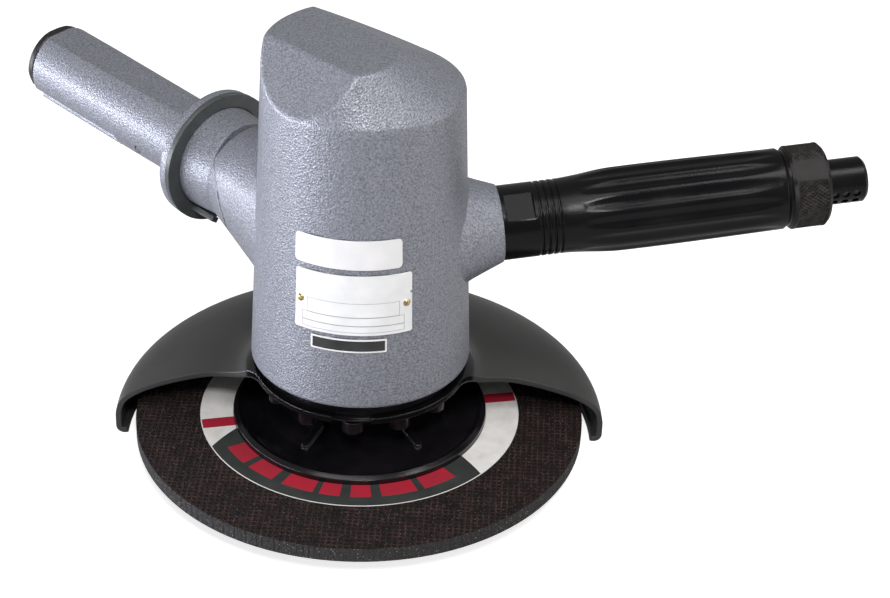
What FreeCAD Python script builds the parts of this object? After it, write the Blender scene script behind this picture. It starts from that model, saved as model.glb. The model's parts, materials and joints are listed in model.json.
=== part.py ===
import FreeCAD, Part
import math
import os

from FreeCAD import Placement, Rotation, Vector

# Vertical grinder driven by compressed air, with a 178 mm depressed centre wheel.
# Millimetres. Z runs up the spindle, the origin is the centre of the spindle's
# lower end, the front with the bare rating plate faces -Y, and the exhaust
# handle points towards +X.

UP = Vector(0, 0, 1)
HERE = Vector(0, 0, 0)

# Clearances and overruns that the whole grinder shares.
overrun = 2.0
turning_fit = 0.05
pocket_fit = 0.1
stand_off = 0.3

pieces = {}


def disc(radius, bottom, top):
    return Part.makeCylinder(radius, top - bottom, Vector(0, 0, bottom))


def ring(outer, inner, bottom, top):
    hole = disc(inner, bottom - overrun, top + overrun)
    return disc(outer, bottom, top).cut(hole)


def cone(bottom_radius, top_radius, bottom, top):
    return Part.makeCone(bottom_radius, top_radius, top - bottom, Vector(0, 0, bottom))


def block(x_low, x_high, y_low, y_high, z_low, z_high):
    corner = Vector(x_low, y_low, z_low)
    return Part.makeBox(x_high - x_low, y_high - y_low, z_high - z_low, corner)


def turned(outline):
    """Turn an outline of (radius, height) corners about the Z axis."""
    points = [Vector(radius, 0, height) for radius, height in outline]
    face = Part.Face(Part.makePolygon(points + points[:1]))
    return face.revolve(HERE, UP, 360)


def plate(outline, y_low, y_high):
    """Extrude an outline of (x, z) corners from y_low to y_high."""
    points = [Vector(x, y_low, z) for x, z in outline]
    face = Part.Face(Part.makePolygon(points + points[:1]))
    return face.extrude(Vector(0, y_high - y_low, 0))


def spun(shape, angle):
    copy = shape.copy()
    copy.rotate(HERE, UP, angle)
    return copy


def spread(shape, count, first=0):
    """Copies of a shape at even angles about the Z axis."""
    return [spun(shape, first + index * 360 / count) for index in range(count)]


def joined(shapes):
    whole = shapes[0]
    for shape in shapes[1:]:
        whole = whole.fuse(shape)
    return whole.removeSplitter()


def cut_all(shape, tools):
    for tool in tools:
        shape = shape.cut(tool)
    return shape


def aimed(shape, azimuth, tilt, height):
    """Lay a piece modelled along +Z on a handle axis, with its +X side up."""
    turn = Rotation(UP, azimuth)
    turn = turn.multiply(Rotation(Vector(0, 1, 0), 90 - tilt))
    turn = turn.multiply(Rotation(UP, 180))
    copy = shape.copy()
    copy.Placement = Placement(Vector(0, 0, height), turn).multiply(copy.Placement)
    return copy


def rounded(shape, radius, wanted):
    """Round the edges whose middle point passes the test."""
    edges = []
    for edge in shape.Edges:
        middle = edge.valueAt((edge.FirstParameter + edge.LastParameter) / 2)
        if wanted(middle):
            edges.append(edge)
    return shape.makeFillet(radius, edges)


def solid_of(shape):
    return shape.Solids[0] if len(shape.Solids) == 1 else shape


# Grinding wheel, type 27. The rim's working face lies just under the spindle's
# end, and the hub is pressed up so that its nut stays clear of the work.
wheel_radius = 89.0
wheel_thickness = 6.0
wheel_bore_radius = 11.1
wheel_hub_lift = 4.6
wheel_hub_radius = 23.0
wheel_web_run = 11.0
spindle_end_lift = 0.8

wheel_face = -spindle_end_lift
wheel_rim_top = wheel_face + wheel_thickness
hub_bottom = wheel_face + wheel_hub_lift
hub_top = hub_bottom + wheel_thickness


def make_grinding_wheel():
    outline = [
        (wheel_bore_radius, hub_bottom),
        (wheel_hub_radius, hub_bottom),
        (wheel_hub_radius + wheel_web_run, wheel_face),
        (wheel_radius, wheel_face),
        (wheel_radius, wheel_rim_top),
        (wheel_hub_radius + wheel_web_run, wheel_rim_top),
        (wheel_hub_radius, hub_top),
        (wheel_bore_radius, hub_top),
    ]
    return turned(outline)


# Spindle, from the threaded nose up to the governor's seat.
thread_radius = 7.9
pilot_radius = 8.2
collar_radius = 11.4
journal_radius = 8.5
upper_journal_radius = 7.5
governor_seat_radius = 5.0
nose_chamfer = 1.0
flange_height = 14.4

flange_top = hub_top + flange_height

# Bearing cap: the black ring under the motor housing, which carries the lower
# bearing and the shaft seal.
housing_bottom = 35.8
cap_radius = 39.2
cap_thickness = 10.3
cap_spigot_radius = 30.7
cap_spigot_length = 14.2
cap_floor = 4.8
cap_edge_chamfer = 1.2
guard_groove_depth = 1.2
guard_groove_width = 2.8
guard_groove_drop = 5.6
seal_radius = 15.0
seal_height = 6.0
seal_lip_radius = 13.2
lower_bearing_radius = 20.0
lower_bearing_width = 12.0
lower_bearing_throat = 16.0

cap_bottom = housing_bottom - cap_thickness
seal_top = cap_bottom + seal_height
lower_bearing_bottom = housing_bottom + cap_spigot_length - lower_bearing_width
cap_top = housing_bottom + cap_spigot_length
groove_top = housing_bottom - guard_groove_drop
groove_bottom = groove_top - guard_groove_width

# Cap screws: twelve hexagon socket screws in a circle.
screw_count = 12
screw_circle_radius = 34.9
screw_radius = 2.5
screw_head_radius = 4.2
screw_head_height = 5.0
screw_reach = 9.0
screw_socket_flats = 4.0
screw_socket_depth = 2.5


def make_bearing_cap():
    outline = [
        (seal_lip_radius, cap_bottom),
        (cap_radius - cap_edge_chamfer, cap_bottom),
        (cap_radius, cap_bottom + cap_edge_chamfer),
        (cap_radius, groove_bottom),
        (cap_radius - guard_groove_depth, groove_bottom),
        (cap_radius - guard_groove_depth, groove_top),
        (cap_radius, groove_top),
        (cap_radius, housing_bottom),
        (cap_spigot_radius, housing_bottom),
        (cap_spigot_radius, cap_top),
        (lower_bearing_radius, cap_top),
        (lower_bearing_radius, lower_bearing_bottom),
        (lower_bearing_throat, lower_bearing_bottom),
        (lower_bearing_throat, seal_top),
        (seal_radius, seal_top),
        (seal_radius, cap_bottom + overrun),
        (seal_lip_radius, cap_bottom + overrun),
    ]
    hole = disc(screw_radius, cap_bottom - overrun, housing_bottom + overrun)
    hole.translate(Vector(0, -screw_circle_radius, 0))
    return cut_all(turned(outline), spread(hole, screw_count))


def hexagon(flats, bottom, top):
    radius = flats / math.sqrt(3)
    points = []
    for index in range(7):
        angle = math.radians(60 * index)
        points.append(Vector(radius * math.cos(angle), radius * math.sin(angle), bottom))
    return Part.Face(Part.makePolygon(points)).extrude(Vector(0, 0, top - bottom))


def make_cap_screws():
    head_bottom = cap_bottom - screw_head_height
    shank = disc(screw_radius, cap_bottom, housing_bottom + screw_reach)
    head = disc(screw_head_radius, head_bottom, cap_bottom)
    socket = hexagon(screw_socket_flats, head_bottom - overrun, head_bottom + screw_socket_depth)
    screw = head.fuse(shank).cut(socket)
    screw.translate(Vector(0, -screw_circle_radius, 0))
    return Part.makeCompound(spread(screw, screw_count))


def make_shaft_seal():
    outline = [
        (collar_radius + turning_fit, seal_top),
        (seal_radius, seal_top),
        (seal_radius, cap_bottom + overrun),
        (collar_radius + turning_fit, cap_bottom + overrun),
    ]
    return turned(outline)


# Wheel flange: the black dished backing flange. Its rim presses on the wheel and
# five short ribs stand on its cone.
flange_radius = 50.4
flange_rim_height = 2.1
flange_lip_height = 3.1
flange_lip_width = 3.8
flange_cone_foot = 38.0
flange_cone_foot_height = 3.4
flange_cone_middle = 30.0
flange_cone_middle_height = 6.0
flange_cone_head = 23.5
flange_cone_head_height = 9.4
flange_neck_radius = 20.0
flange_neck_foot = 12.8
flange_seat_width = 4.4
flange_underside_run = 14.0
flange_underside_lift = 1.2
rib_count = 5
rib_inner = 26.0
rib_outer = 38.6
rib_width = 3.2
rib_height = 1.1
rib_first_angle = -120.0

flange_crown = [
    (flange_radius, wheel_rim_top + flange_rim_height),
    (flange_radius - flange_lip_width / 2, wheel_rim_top + flange_lip_height),
    (flange_radius - flange_lip_width, wheel_rim_top + flange_rim_height),
    (flange_cone_foot, wheel_rim_top + flange_cone_foot_height),
    (flange_cone_middle, wheel_rim_top + flange_cone_middle_height),
    (flange_cone_head, wheel_rim_top + flange_cone_head_height),
    (flange_neck_radius, wheel_rim_top + flange_neck_foot),
    (flange_neck_radius, flange_top),
]


def crown_height(radius):
    """Height of the wheel flange's upper side at a radius."""
    for outer, inner in zip(flange_crown, flange_crown[1:]):
        if inner[0] <= radius <= outer[0] and inner[0] < outer[0]:
            part = (outer[0] - radius) / (outer[0] - inner[0])
            return outer[1] + part * (inner[1] - outer[1])
    return flange_top


def make_wheel_flange():
    underside = [
        (pilot_radius, flange_top),
        (pilot_radius, hub_top),
        (wheel_hub_radius, hub_top),
        (wheel_hub_radius + flange_underside_run, wheel_rim_top + flange_underside_lift),
        (flange_radius - flange_seat_width, wheel_rim_top),
        (flange_radius, wheel_rim_top),
    ]
    body = turned(underside + flange_crown)
    return joined([body] + spread(make_flange_rib(), rib_count, rib_first_angle))


def make_flange_rib():
    """A raised bar with round ends, along the dished crown."""
    outline = [
        (rib_inner, crown_height(rib_inner) + rib_height),
        (rib_outer, crown_height(rib_outer) + rib_height),
        (rib_outer, crown_height(rib_outer) - rib_height),
        (rib_inner, crown_height(rib_inner) - rib_height),
    ]
    half = rib_width / 2
    plan = [block(rib_inner + half, rib_outer - half, -half, half, wheel_rim_top, flange_top)]
    for radius in (rib_inner + half, rib_outer - half):
        end = disc(half, wheel_rim_top, flange_top)
        end.translate(Vector(radius, 0, 0))
        plan.append(end)
    return plate(outline, -half, half).common(joined(plan))


# Wheel nut: the thin outer flange under the hub, turned with a pin spanner.
nut_radius = 19.5
nut_bottom = 0.6
nut_pilot_radius = 11.0
nut_pilot_height = 4.2
spanner_hole_count = 4
spanner_hole_radius = 2.5
spanner_hole_circle = 15.0
spanner_first_angle = 45.0


def make_wheel_nut():
    outline = [
        (thread_radius, nut_bottom),
        (nut_radius, nut_bottom),
        (nut_radius, hub_bottom),
        (nut_pilot_radius, hub_bottom),
        (nut_pilot_radius, hub_bottom + nut_pilot_height),
        (thread_radius, hub_bottom + nut_pilot_height),
    ]
    hole = disc(spanner_hole_radius, nut_bottom - overrun, hub_bottom + overrun)
    hole.translate(Vector(spanner_hole_circle, 0, 0))
    return cut_all(turned(outline), spread(hole, spanner_hole_count, spanner_first_angle))


# Vane motor: end plates, liner with an eccentric bore, slotted rotor and vanes.
chamber_radius = 31.0
plate_radius = 30.7
lower_plate_thickness = 8.0
liner_length = 54.0
liner_bore_radius = 24.0
liner_offset = 3.2
rotor_radius = 20.5
rotor_end_gap = 0.3
vane_count = 5
vane_first_angle = 36.0
vane_thickness = 2.0
vane_slot_depth = 10.0
vane_gap = 0.15
key_width = 5.0
key_height = 2.3
key_length = 30.0
port_radius = 3.0
exhaust_port_count = 3
inlet_port_count = 2
port_pitch = 6.8
upper_plate_thickness = 7.0
upper_bearing_radius = 17.5
upper_bearing_width = 11.0
upper_boss_radius = 21.0
upper_throat_radius = 14.5
upper_plate_floor = 3.0
plate_shaft_gap = 0.3

lower_plate_bottom = cap_top
liner_bottom = lower_plate_bottom + lower_plate_thickness
liner_top = liner_bottom + liner_length
upper_plate_top = liner_top + upper_plate_thickness
upper_bearing_bottom = liner_top + upper_plate_floor
upper_bearing_top = upper_bearing_bottom + upper_bearing_width
rotor_bottom = liner_bottom + rotor_end_gap
rotor_top = liner_top - rotor_end_gap
key_bottom = (rotor_bottom + rotor_top - key_length) / 2
governor_seat_bottom = upper_bearing_top + stand_off
cage_floor_thickness = 2.5
cage_bottom = governor_seat_bottom
spindle_top = cage_bottom + cage_floor_thickness


def make_spindle():
    outline = [
        (0, 0),
        (thread_radius - nose_chamfer, 0),
        (thread_radius, nose_chamfer),
        (thread_radius, hub_top),
        (pilot_radius, hub_top),
        (pilot_radius, flange_top),
        (collar_radius, flange_top),
        (collar_radius, lower_bearing_bottom),
        (journal_radius, lower_bearing_bottom),
        (journal_radius, upper_bearing_bottom),
        (upper_journal_radius, upper_bearing_bottom),
        (upper_journal_radius, governor_seat_bottom),
        (governor_seat_radius, governor_seat_bottom),
        (governor_seat_radius, spindle_top),
        (0, spindle_top),
    ]
    keyway = block(
        journal_radius - key_height / 2, journal_radius + key_height,
        -key_width / 2, key_width / 2, key_bottom, key_bottom + key_length)
    return turned(outline).cut(keyway)


def make_rotor_key():
    return block(
        journal_radius - key_height / 2, journal_radius + key_height / 2,
        -key_width / 2, key_width / 2, key_bottom, key_bottom + key_length)


def vane_slots(thickness, bottom, top):
    slot = block(
        rotor_radius - vane_slot_depth, rotor_radius + overrun,
        -thickness / 2, thickness / 2, bottom, top)
    return spread(slot, vane_count, vane_first_angle)


def make_rotor():
    body = ring(rotor_radius, journal_radius, rotor_bottom, rotor_top)
    keyway = block(
        0, journal_radius + key_height / 2,
        -key_width / 2, key_width / 2, rotor_bottom - overrun, rotor_top + overrun)
    slots = vane_slots(vane_thickness, rotor_bottom - overrun, rotor_top + overrun)
    return cut_all(body.cut(keyway), slots)


def make_rotor_vanes():
    blades = []
    limit = disc(rotor_radius, rotor_bottom, rotor_top)
    for blade in vane_slots(vane_thickness - vane_gap, rotor_bottom, rotor_top):
        blades.append(solid_of(blade.common(limit)))
    return Part.makeCompound(blades)


def make_cylinder_liner():
    body = disc(plate_radius, liner_bottom, liner_top)
    bore = disc(liner_bore_radius, liner_bottom - overrun, liner_top + overrun)
    bore.translate(Vector(0, liner_offset, 0))
    body = body.cut(bore)
    ports = []
    for azimuth, count in ((exhaust_azimuth, exhaust_port_count), (throttle_azimuth, inlet_port_count)):
        for index in range(count):
            height = exhaust_height + (index - (count - 1) / 2) * port_pitch
            port = Part.makeCylinder(
                port_radius, chamber_radius, Vector(0, 0, height), Vector(1, 0, 0))
            ports.append(spun(port, azimuth))
    return cut_all(body, ports)


def make_lower_end_plate():
    return ring(plate_radius, journal_radius + plate_shaft_gap, lower_plate_bottom, liner_bottom)


def make_upper_end_plate():
    outline = [
        (journal_radius + plate_shaft_gap, liner_top),
        (plate_radius, liner_top),
        (plate_radius, upper_plate_top),
        (upper_boss_radius, upper_plate_top),
        (upper_boss_radius, upper_bearing_top),
        (upper_bearing_radius, upper_bearing_top),
        (upper_bearing_radius, upper_bearing_bottom),
        (journal_radius + plate_shaft_gap, upper_bearing_bottom),
    ]
    return turned(outline)


# Ball bearings: two races with a round groove, and a caged row of balls.
lower_ball_radius = 3.4
lower_pitch_radius = 14.2
lower_ball_count = 8
upper_ball_radius = 2.9
upper_pitch_radius = 12.4
upper_ball_count = 8
race_share = 0.42
cage_half_width_share = 0.28
cage_half_height_share = 1.25


def bearing_groove(pitch, ball, middle):
    return Part.makeTorus(pitch, ball + turning_fit, Vector(0, 0, middle), UP)


def make_outer_race(pitch, ball, outer, bottom, width):
    inner = pitch + ball * (1 - race_share)
    race = ring(outer, inner, bottom, bottom + width)
    return race.cut(bearing_groove(pitch, ball, bottom + width / 2))


def make_inner_race(pitch, ball, bore, bottom, width):
    outer = pitch - ball * (1 - race_share)
    race = ring(outer, bore, bottom, bottom + width)
    return race.cut(bearing_groove(pitch, ball, bottom + width / 2))


def make_ball_cage(pitch, ball, count, middle):
    half_width = ball * cage_half_width_share
    half_height = ball * cage_half_height_share
    cage = ring(pitch + half_width, pitch - half_width, middle - half_height, middle + half_height)
    pocket = Part.makeCylinder(ball + pocket_fit, 2 * ball, Vector(pitch - ball, 0, middle), Vector(1, 0, 0))
    return cut_all(cage, spread(pocket, count))


def make_balls(pitch, ball, count, middle):
    sphere = Part.makeSphere(ball, Vector(pitch, 0, middle))
    return Part.makeCompound(spread(sphere, count))


# Governor: a cage on the spindle's top, two swinging weights on pins, and a
# valve that their toes lift against a spring.
cage_radius = 14.0
lug_inner = 2.6
lug_thickness = 2.0
lug_reach = 10.5
lug_half_length = 2.6
governor_pivot_reach = 9.5
governor_pivot_lift = 5.0
governor_pin_radius = 1.2
weight_thickness = 5.0
weight_arm_inner = 11.2
weight_arm_outer = 14.6
weight_arm_top = 8.0
weight_arm_bottom = 1.8
weight_eye_radius = 2.3
toe_reach = 3.6
toe_half_height = 0.8
valve_disc_radius = 5.0
valve_disc_thickness = 1.6
valve_stem_radius = 2.6
valve_stem_length = 15.0
governor_bush_radius = 6.0
governor_bush_length = 8.0
governor_spring_length = 8.0
governor_spring_radius = 4.2
governor_wire_radius = 0.4
governor_spring_turns = 4
wire_side_count = 6
governor_chamber_radius = 19.0
governor_bush_overhang = 1.0

pivot_height = spindle_top + governor_pivot_lift
valve_bottom = pivot_height + toe_half_height + stand_off / 3
valve_disc_top = valve_bottom + valve_disc_thickness
bush_bottom = valve_disc_top + governor_spring_length
bush_top = bush_bottom + governor_bush_length
governor_chamber_top = bush_bottom + governor_bush_overhang


def make_governor_cage():
    floor = ring(cage_radius, governor_seat_radius, cage_bottom, spindle_top)
    lugs = []
    for side in (1, -1):
        for y_side in (1, -1):
            y_inner = y_side * (weight_thickness / 2 + turning_fit)
            y_outer = y_side * (weight_thickness / 2 + turning_fit + lug_thickness)
            x_ends = sorted((side * (governor_pivot_reach - lug_half_length),
                             side * (governor_pivot_reach + lug_half_length)))
            y_ends = sorted((y_inner, y_outer))
            lugs.append(block(x_ends[0], x_ends[1], y_ends[0], y_ends[1],
                              spindle_top, pivot_height + lug_half_length))
    body = joined([floor] + lugs)
    return cut_all(body, governor_pin_shapes(governor_pin_radius))


def governor_pin_shapes(radius):
    half_length = weight_thickness / 2 + turning_fit + lug_thickness
    pins = []
    for side in (1, -1):
        base = Vector(side * governor_pivot_reach, -half_length, pivot_height)
        pins.append(Part.makeCylinder(radius, 2 * half_length, base, Vector(0, 1, 0)))
    return pins


def make_governor_weight(side):
    half = weight_thickness / 2
    eye = Part.makeCylinder(
        weight_eye_radius, weight_thickness, Vector(governor_pivot_reach, -half, pivot_height), Vector(0, 1, 0))
    arm = block(weight_arm_inner, weight_arm_outer, -half, half,
                pivot_height - weight_arm_bottom, pivot_height + weight_arm_top)
    toe = block(toe_reach, governor_pivot_reach, -half, half,
                pivot_height - toe_half_height, pivot_height + toe_half_height)
    web = block(governor_pivot_reach, weight_arm_inner + overrun / 2, -half, half,
                pivot_height - toe_half_height, pivot_height + toe_half_height)
    weight = joined([eye, arm, toe, web])
    bore = Part.makeCylinder(
        governor_pin_radius + turning_fit, 2 * weight_thickness,
        Vector(governor_pivot_reach, -weight_thickness, pivot_height), Vector(0, 1, 0))
    weight = weight.cut(bore)
    return weight if side > 0 else spun(weight, 180)


def make_governor_valve():
    return joined([
        disc(valve_disc_radius, valve_bottom, valve_disc_top),
        disc(valve_stem_radius, valve_disc_top, valve_bottom + valve_stem_length),
    ])


def make_governor_bush():
    return ring(governor_bush_radius, valve_stem_radius + turning_fit, bush_bottom, bush_top)


def make_coil(radius, wire, turns, bottom, top):
    """One unbroken spring of quarter-turn arcs, standing on Z between two seats."""
    climb = top - bottom - 2 * wire
    points = []
    for index in range(8 * turns + 1):
        angle = math.pi * index / 4
        height = bottom + wire + climb * index / (8 * turns)
        points.append(Vector(radius * math.cos(angle), radius * math.sin(angle), height))
    arcs = [Part.Arc(*points[index:index + 3]).toShape() for index in range(0, 8 * turns, 2)]
    heading = arcs[0].tangentAt(arcs[0].FirstParameter)
    circle = Part.makeCircle(wire, points[0], heading)
    section = Part.makePolygon(circle.discretize(wire_side_count + 1))
    coil = Part.Wire(arcs).makePipeShell([section], True, False)
    return solid_of(coil)


# Handle axes: where each handle's centre line leaves the spindle axis.
throttle_azimuth = 138.3
throttle_tilt = 2.3
throttle_height = 83.4
exhaust_azimuth = 12.3
exhaust_tilt = 4.2
exhaust_height = 84.0


def on_throttle(shape):
    return aimed(shape, throttle_azimuth, throttle_tilt, throttle_height)


def on_exhaust(shape):
    return aimed(shape, exhaust_azimuth, exhaust_tilt, exhaust_height)


# Motor housing: a tapered casting with a ridged crown and two handle bosses.
housing_bottom_radius = 42.8
housing_taper_share = 0.0432
crown_edge = 150.2
crown_rise = 17.0
ridge_steep_share = 0.4953
ridge_gentle_share = 0.1659
crown_nose_share = 0.4907
crown_nose_shift_share = 0.243
crown_round = 2.5
boss_start = 22.0
throttle_boss_end = 67.3
throttle_boss_radius = 20.2
throttle_boss_flare_share = 0.3
exhaust_boss_end = 52.9
exhaust_boss_radius = 15.2
exhaust_boss_flare_share = 0.4
spigot_radius = 14.0
spigot_length = 17.0
exhaust_spigot_radius = 10.0
exhaust_spigot_length = 12.0
seam_top_height = 12.0
seam_foot_height = 4.0
seam_foot_drop = 10.0
seam_low_height = -5.0
seam_low_drop = 15.8
top_slot_width = 3.6
lower_slit_width = 1.0
chamber_top_gap = 1.0

crown_top = crown_edge + crown_rise
ridge_steep_side = ridge_steep_share * housing_bottom_radius
ridge_gentle_side = ridge_gentle_share * housing_bottom_radius
crown_nose_radius = crown_nose_share * housing_bottom_radius
crown_nose_shift = crown_nose_shift_share * housing_bottom_radius
seam_foot = throttle_boss_end - seam_foot_drop
neck_start = throttle_boss_end - seam_low_drop


def housing_radius(height):
    return housing_bottom_radius - housing_taper_share * (height - housing_bottom)


def make_crown():
    """The roof above the wall: a flat ridge towards the throttle handle, a steep
    and a gentle side, and a rounded nose that comes down to a level wall edge."""
    edge_radius = housing_radius(crown_edge)
    far = 2 * housing_bottom_radius
    body = cone(edge_radius, housing_radius(crown_top), crown_edge, crown_top)
    steep_slope = crown_rise / (edge_radius - ridge_steep_side)
    gentle_slope = crown_rise / (edge_radius - ridge_gentle_side)
    roof_outline = [
        (ridge_steep_side, crown_top),
        (far, crown_top - steep_slope * (far - ridge_steep_side)),
        (-far, crown_top - gentle_slope * (far - ridge_gentle_side)),
        (-ridge_gentle_side, crown_top),
    ]
    points = [Vector(-far, y, z) for y, z in roof_outline]
    roof = Part.Face(Part.makePolygon(points + points[:1])).extrude(Vector(2 * far, 0, 0))
    body = body.common(roof)
    foot = Part.Wire(Part.makeCircle(edge_radius, Vector(0, 0, crown_edge)))
    head = Part.Wire(Part.makeCircle(crown_nose_radius, Vector(0, crown_nose_shift, crown_top)))
    nose = Part.makeLoft([foot, head], True, True)
    front = block(-far, 0, -far, far, crown_edge, crown_top)
    return spun(body.cut(front.cut(nose)), throttle_azimuth)


def throttle_boss_size(along):
    return throttle_boss_radius + throttle_boss_flare_share * (throttle_boss_end - along)


def mating_outline(slot, slit):
    """Side view of the throttle boss's end as (up, along) corners: a slot that
    opens upwards, a closed seam that steps back, and a narrow slit below it."""
    reach = 2 * throttle_boss_radius
    opening = (reach - seam_top_height) / (throttle_boss_radius - seam_top_height)
    return [
        (reach, throttle_boss_end + slot * opening),
        (seam_top_height, throttle_boss_end),
        (seam_foot_height, seam_foot),
        (seam_foot_height, seam_foot + slit),
        (seam_low_height, neck_start + slit),
        (-reach, neck_start + slit),
        (-reach, 0),
        (reach, 0),
    ]


def housing_inside():
    """The room for the motor, the upper bearing's boss and the governor."""
    boss_room_radius = upper_boss_radius + chamber_top_gap
    return turned([
        (0, housing_bottom - overrun),
        (chamber_radius, housing_bottom - overrun),
        (chamber_radius, upper_plate_top + stand_off),
        (boss_room_radius, upper_plate_top + stand_off),
        (boss_room_radius, upper_bearing_top + stand_off),
        (governor_chamber_radius, upper_bearing_top + stand_off),
        (governor_chamber_radius, governor_chamber_top),
        (governor_bush_radius, governor_chamber_top),
        (governor_bush_radius, bush_top),
        (0, bush_top),
    ])


def make_motor_housing():
    wall = cone(housing_bottom_radius, housing_radius(crown_edge), housing_bottom, crown_edge)
    body = joined([wall, make_crown()]).cut(housing_inside())
    body = rounded(body, crown_round, lambda middle:
                   middle.z > crown_edge - overrun / 2
                   and math.hypot(middle.x, middle.y) > governor_bush_radius + overrun)
    end = throttle_boss_end
    throttle_boss = cone(throttle_boss_size(boss_start), throttle_boss_radius, boss_start, end)
    reach = 2 * throttle_boss_radius
    limit = plate(mating_outline(-top_slot_width / 2, 0), -reach, reach)
    throttle_boss = throttle_boss.common(limit)
    exhaust_boss = cone(
        exhaust_boss_radius + exhaust_boss_flare_share * (exhaust_boss_end - boss_start),
        exhaust_boss_radius, boss_start, exhaust_boss_end)
    bosses = joined([on_throttle(throttle_boss), on_exhaust(exhaust_boss)]).cut(housing_inside())
    throttle_bore = disc(spigot_radius + turning_fit, boss_start, end + overrun)
    exhaust_bore = disc(exhaust_spigot_radius + turning_fit, boss_start, exhaust_boss_end + overrun)
    body = cut_all(joined([body, bosses]), [on_throttle(throttle_bore), on_exhaust(exhaust_bore)])
    hole = disc(screw_radius, housing_bottom - overrun, housing_bottom + screw_reach)
    hole.translate(Vector(0, -screw_circle_radius, 0))
    return solid_of(cut_all(body, spread(hole, screw_count)))


# Wheel guard: a pressed steel hood. The split rim of its collar snaps into the
# bearing cap's groove, the hood covers the rear half of the wheel, and its skirt
# passes the wheel's face and rolls inwards. Heights fall from the rim's top.
guard_sheet = 2.2
guard_collar_gap = 0.3
guard_rim_play = 0.2
guard_rim_radius = 42.0
guard_wheel_gap = 8.9
guard_dome_drop = 31.0
guard_skirt_drop = 35.2
guard_roll_radius = 3.4
guard_roll_angle = 115.0
guard_split_width = 15.0
guard_turn_angle = 3.3
guard_fillet_radius = 27.0
guard_dome_shares = [
    (0.000, 0.000),
    (0.047, 0.058),
    (0.110, 0.155),
    (0.184, 0.213),
    (0.322, 0.265),
    (0.537, 0.355),
    (0.751, 0.485),
    (0.886, 0.610),
    (0.959, 0.730),
    (0.991, 0.865),
    (1.000, 1.000),
]

guard_top = groove_top - guard_rim_play
guard_rim_bottom = groove_bottom + guard_rim_play
guard_inner = cap_radius - guard_groove_depth + guard_collar_gap
guard_radius = wheel_radius + guard_wheel_gap
guard_reach = guard_radius - guard_rim_radius


def sheet_behind(points, distance):
    """The inner side of a bent sheet: its outer points, each moved square to the curve."""
    moved = []
    for index, (radius, height) in enumerate(points):
        before = points[max(index - 1, 0)]
        after = points[min(index + 1, len(points) - 1)]
        run = after[0] - before[0]
        drop = after[1] - before[1]
        length = math.hypot(run, drop)
        moved.append((radius + distance * drop / length, height - distance * run / length))
    return moved


def smooth_edge(points):
    curve = Part.BSplineCurve()
    curve.interpolate([Vector(radius, 0, height) for radius, height in points])
    return curve.toShape()


def straight_edges(points):
    ends = [Vector(radius, 0, height) for radius, height in points]
    return [Part.makeLine(start, end) for start, end in zip(ends, ends[1:])]


def roll_arc(radius):
    """The rolled lip at the skirt's foot, from the skirt inwards."""
    middle = Vector(guard_radius - guard_roll_radius, 0, guard_top - guard_skirt_drop)
    points = []
    for share in (0, 0.5, 1):
        angle = math.radians(-guard_roll_angle * share)
        points.append(middle + Vector(radius * math.cos(angle), 0, radius * math.sin(angle)))
    return Part.Arc(*points).toShape(), points[0], points[2]


def hood_plan():
    """What stays of the hood in plan: the rear half, the rim's circle, and a
    hollow corner on each side where the front edge runs into the rim."""
    far = 2 * guard_radius
    low = guard_top - 2 * guard_skirt_drop
    high = guard_top + overrun
    fillet_middle = guard_rim_radius + guard_fillet_radius
    corner_x = math.sqrt(fillet_middle ** 2 - guard_fillet_radius ** 2)
    shapes = [block(-far, far, 0, far, low, high), disc(guard_rim_radius, low, high)]
    for side in (1, -1):
        ends = [Vector(0, 0, low), Vector(side * corner_x, 0, low),
                Vector(side * corner_x, -guard_fillet_radius, low)]
        corner = Part.Face(Part.makePolygon(ends + ends[:1])).extrude(Vector(0, 0, high - low))
        hollow = disc(guard_fillet_radius, low, high)
        hollow.translate(Vector(side * corner_x, -guard_fillet_radius, 0))
        shapes.append(corner.cut(hollow))
    return spun(joined(shapes), guard_turn_angle)


def make_wheel_guard():
    outer = [(guard_rim_radius + guard_reach * out_share, guard_top - guard_dome_drop * drop_share)
             for out_share, drop_share in guard_dome_shares]
    inner = sheet_behind(outer, guard_sheet)
    inner[0] = (guard_rim_radius - guard_rim_play, guard_rim_bottom)
    outer_roll, outer_top, outer_foot = roll_arc(guard_roll_radius)
    inner_roll, inner_top, inner_foot = roll_arc(guard_roll_radius - guard_sheet)
    edges = [smooth_edge(outer), outer_roll, smooth_edge(inner), inner_roll]
    edges += straight_edges([inner[0], (guard_inner, guard_rim_bottom), (guard_inner, guard_top), outer[0]])
    edges += straight_edges([outer[-1], (outer_top.x, outer_top.z)])
    edges += straight_edges([inner[-1], (inner_top.x, inner_top.z)])
    edges += straight_edges([(outer_foot.x, outer_foot.z), (inner_foot.x, inner_foot.z)])
    section = Part.Face(Part.Wire(Part.__sortEdges__(edges)))
    hood = section.revolve(HERE, UP, 360)
    split = block(-guard_split_width / 2, guard_split_width / 2, -2 * guard_rim_radius, 0,
                  guard_rim_bottom - overrun, guard_top + overrun)
    return solid_of(hood.common(hood_plan()).cut(split))


# Throttle handle: a cast grip with a hand flange. Lengths run along its axis from
# the spindle axis, and heights along the pressing line of the lever below it.
neck_radius = 21.4
neck_end = 82.1
guard_ring_thickness = 2.2
guard_ring_radius = 27.3
guard_ring_gap = 0.3
hand_flange_thickness = 3.6
hand_flange_radius = 27.0
hand_flange_round = 3.5
grip_root_radius = 16.1
grip_radius = 16.6
grip_full = 160.0
grip_end = 185.6
grip_end_chamfer = 0.8
top_flat_angle = -4.5
top_flat_distance = 15.2
top_flat_start = 94.0
tab_angle = 144.0
tab_width = 3.2
tab_thickness = 2.2
tab_reach = 12.0

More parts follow.
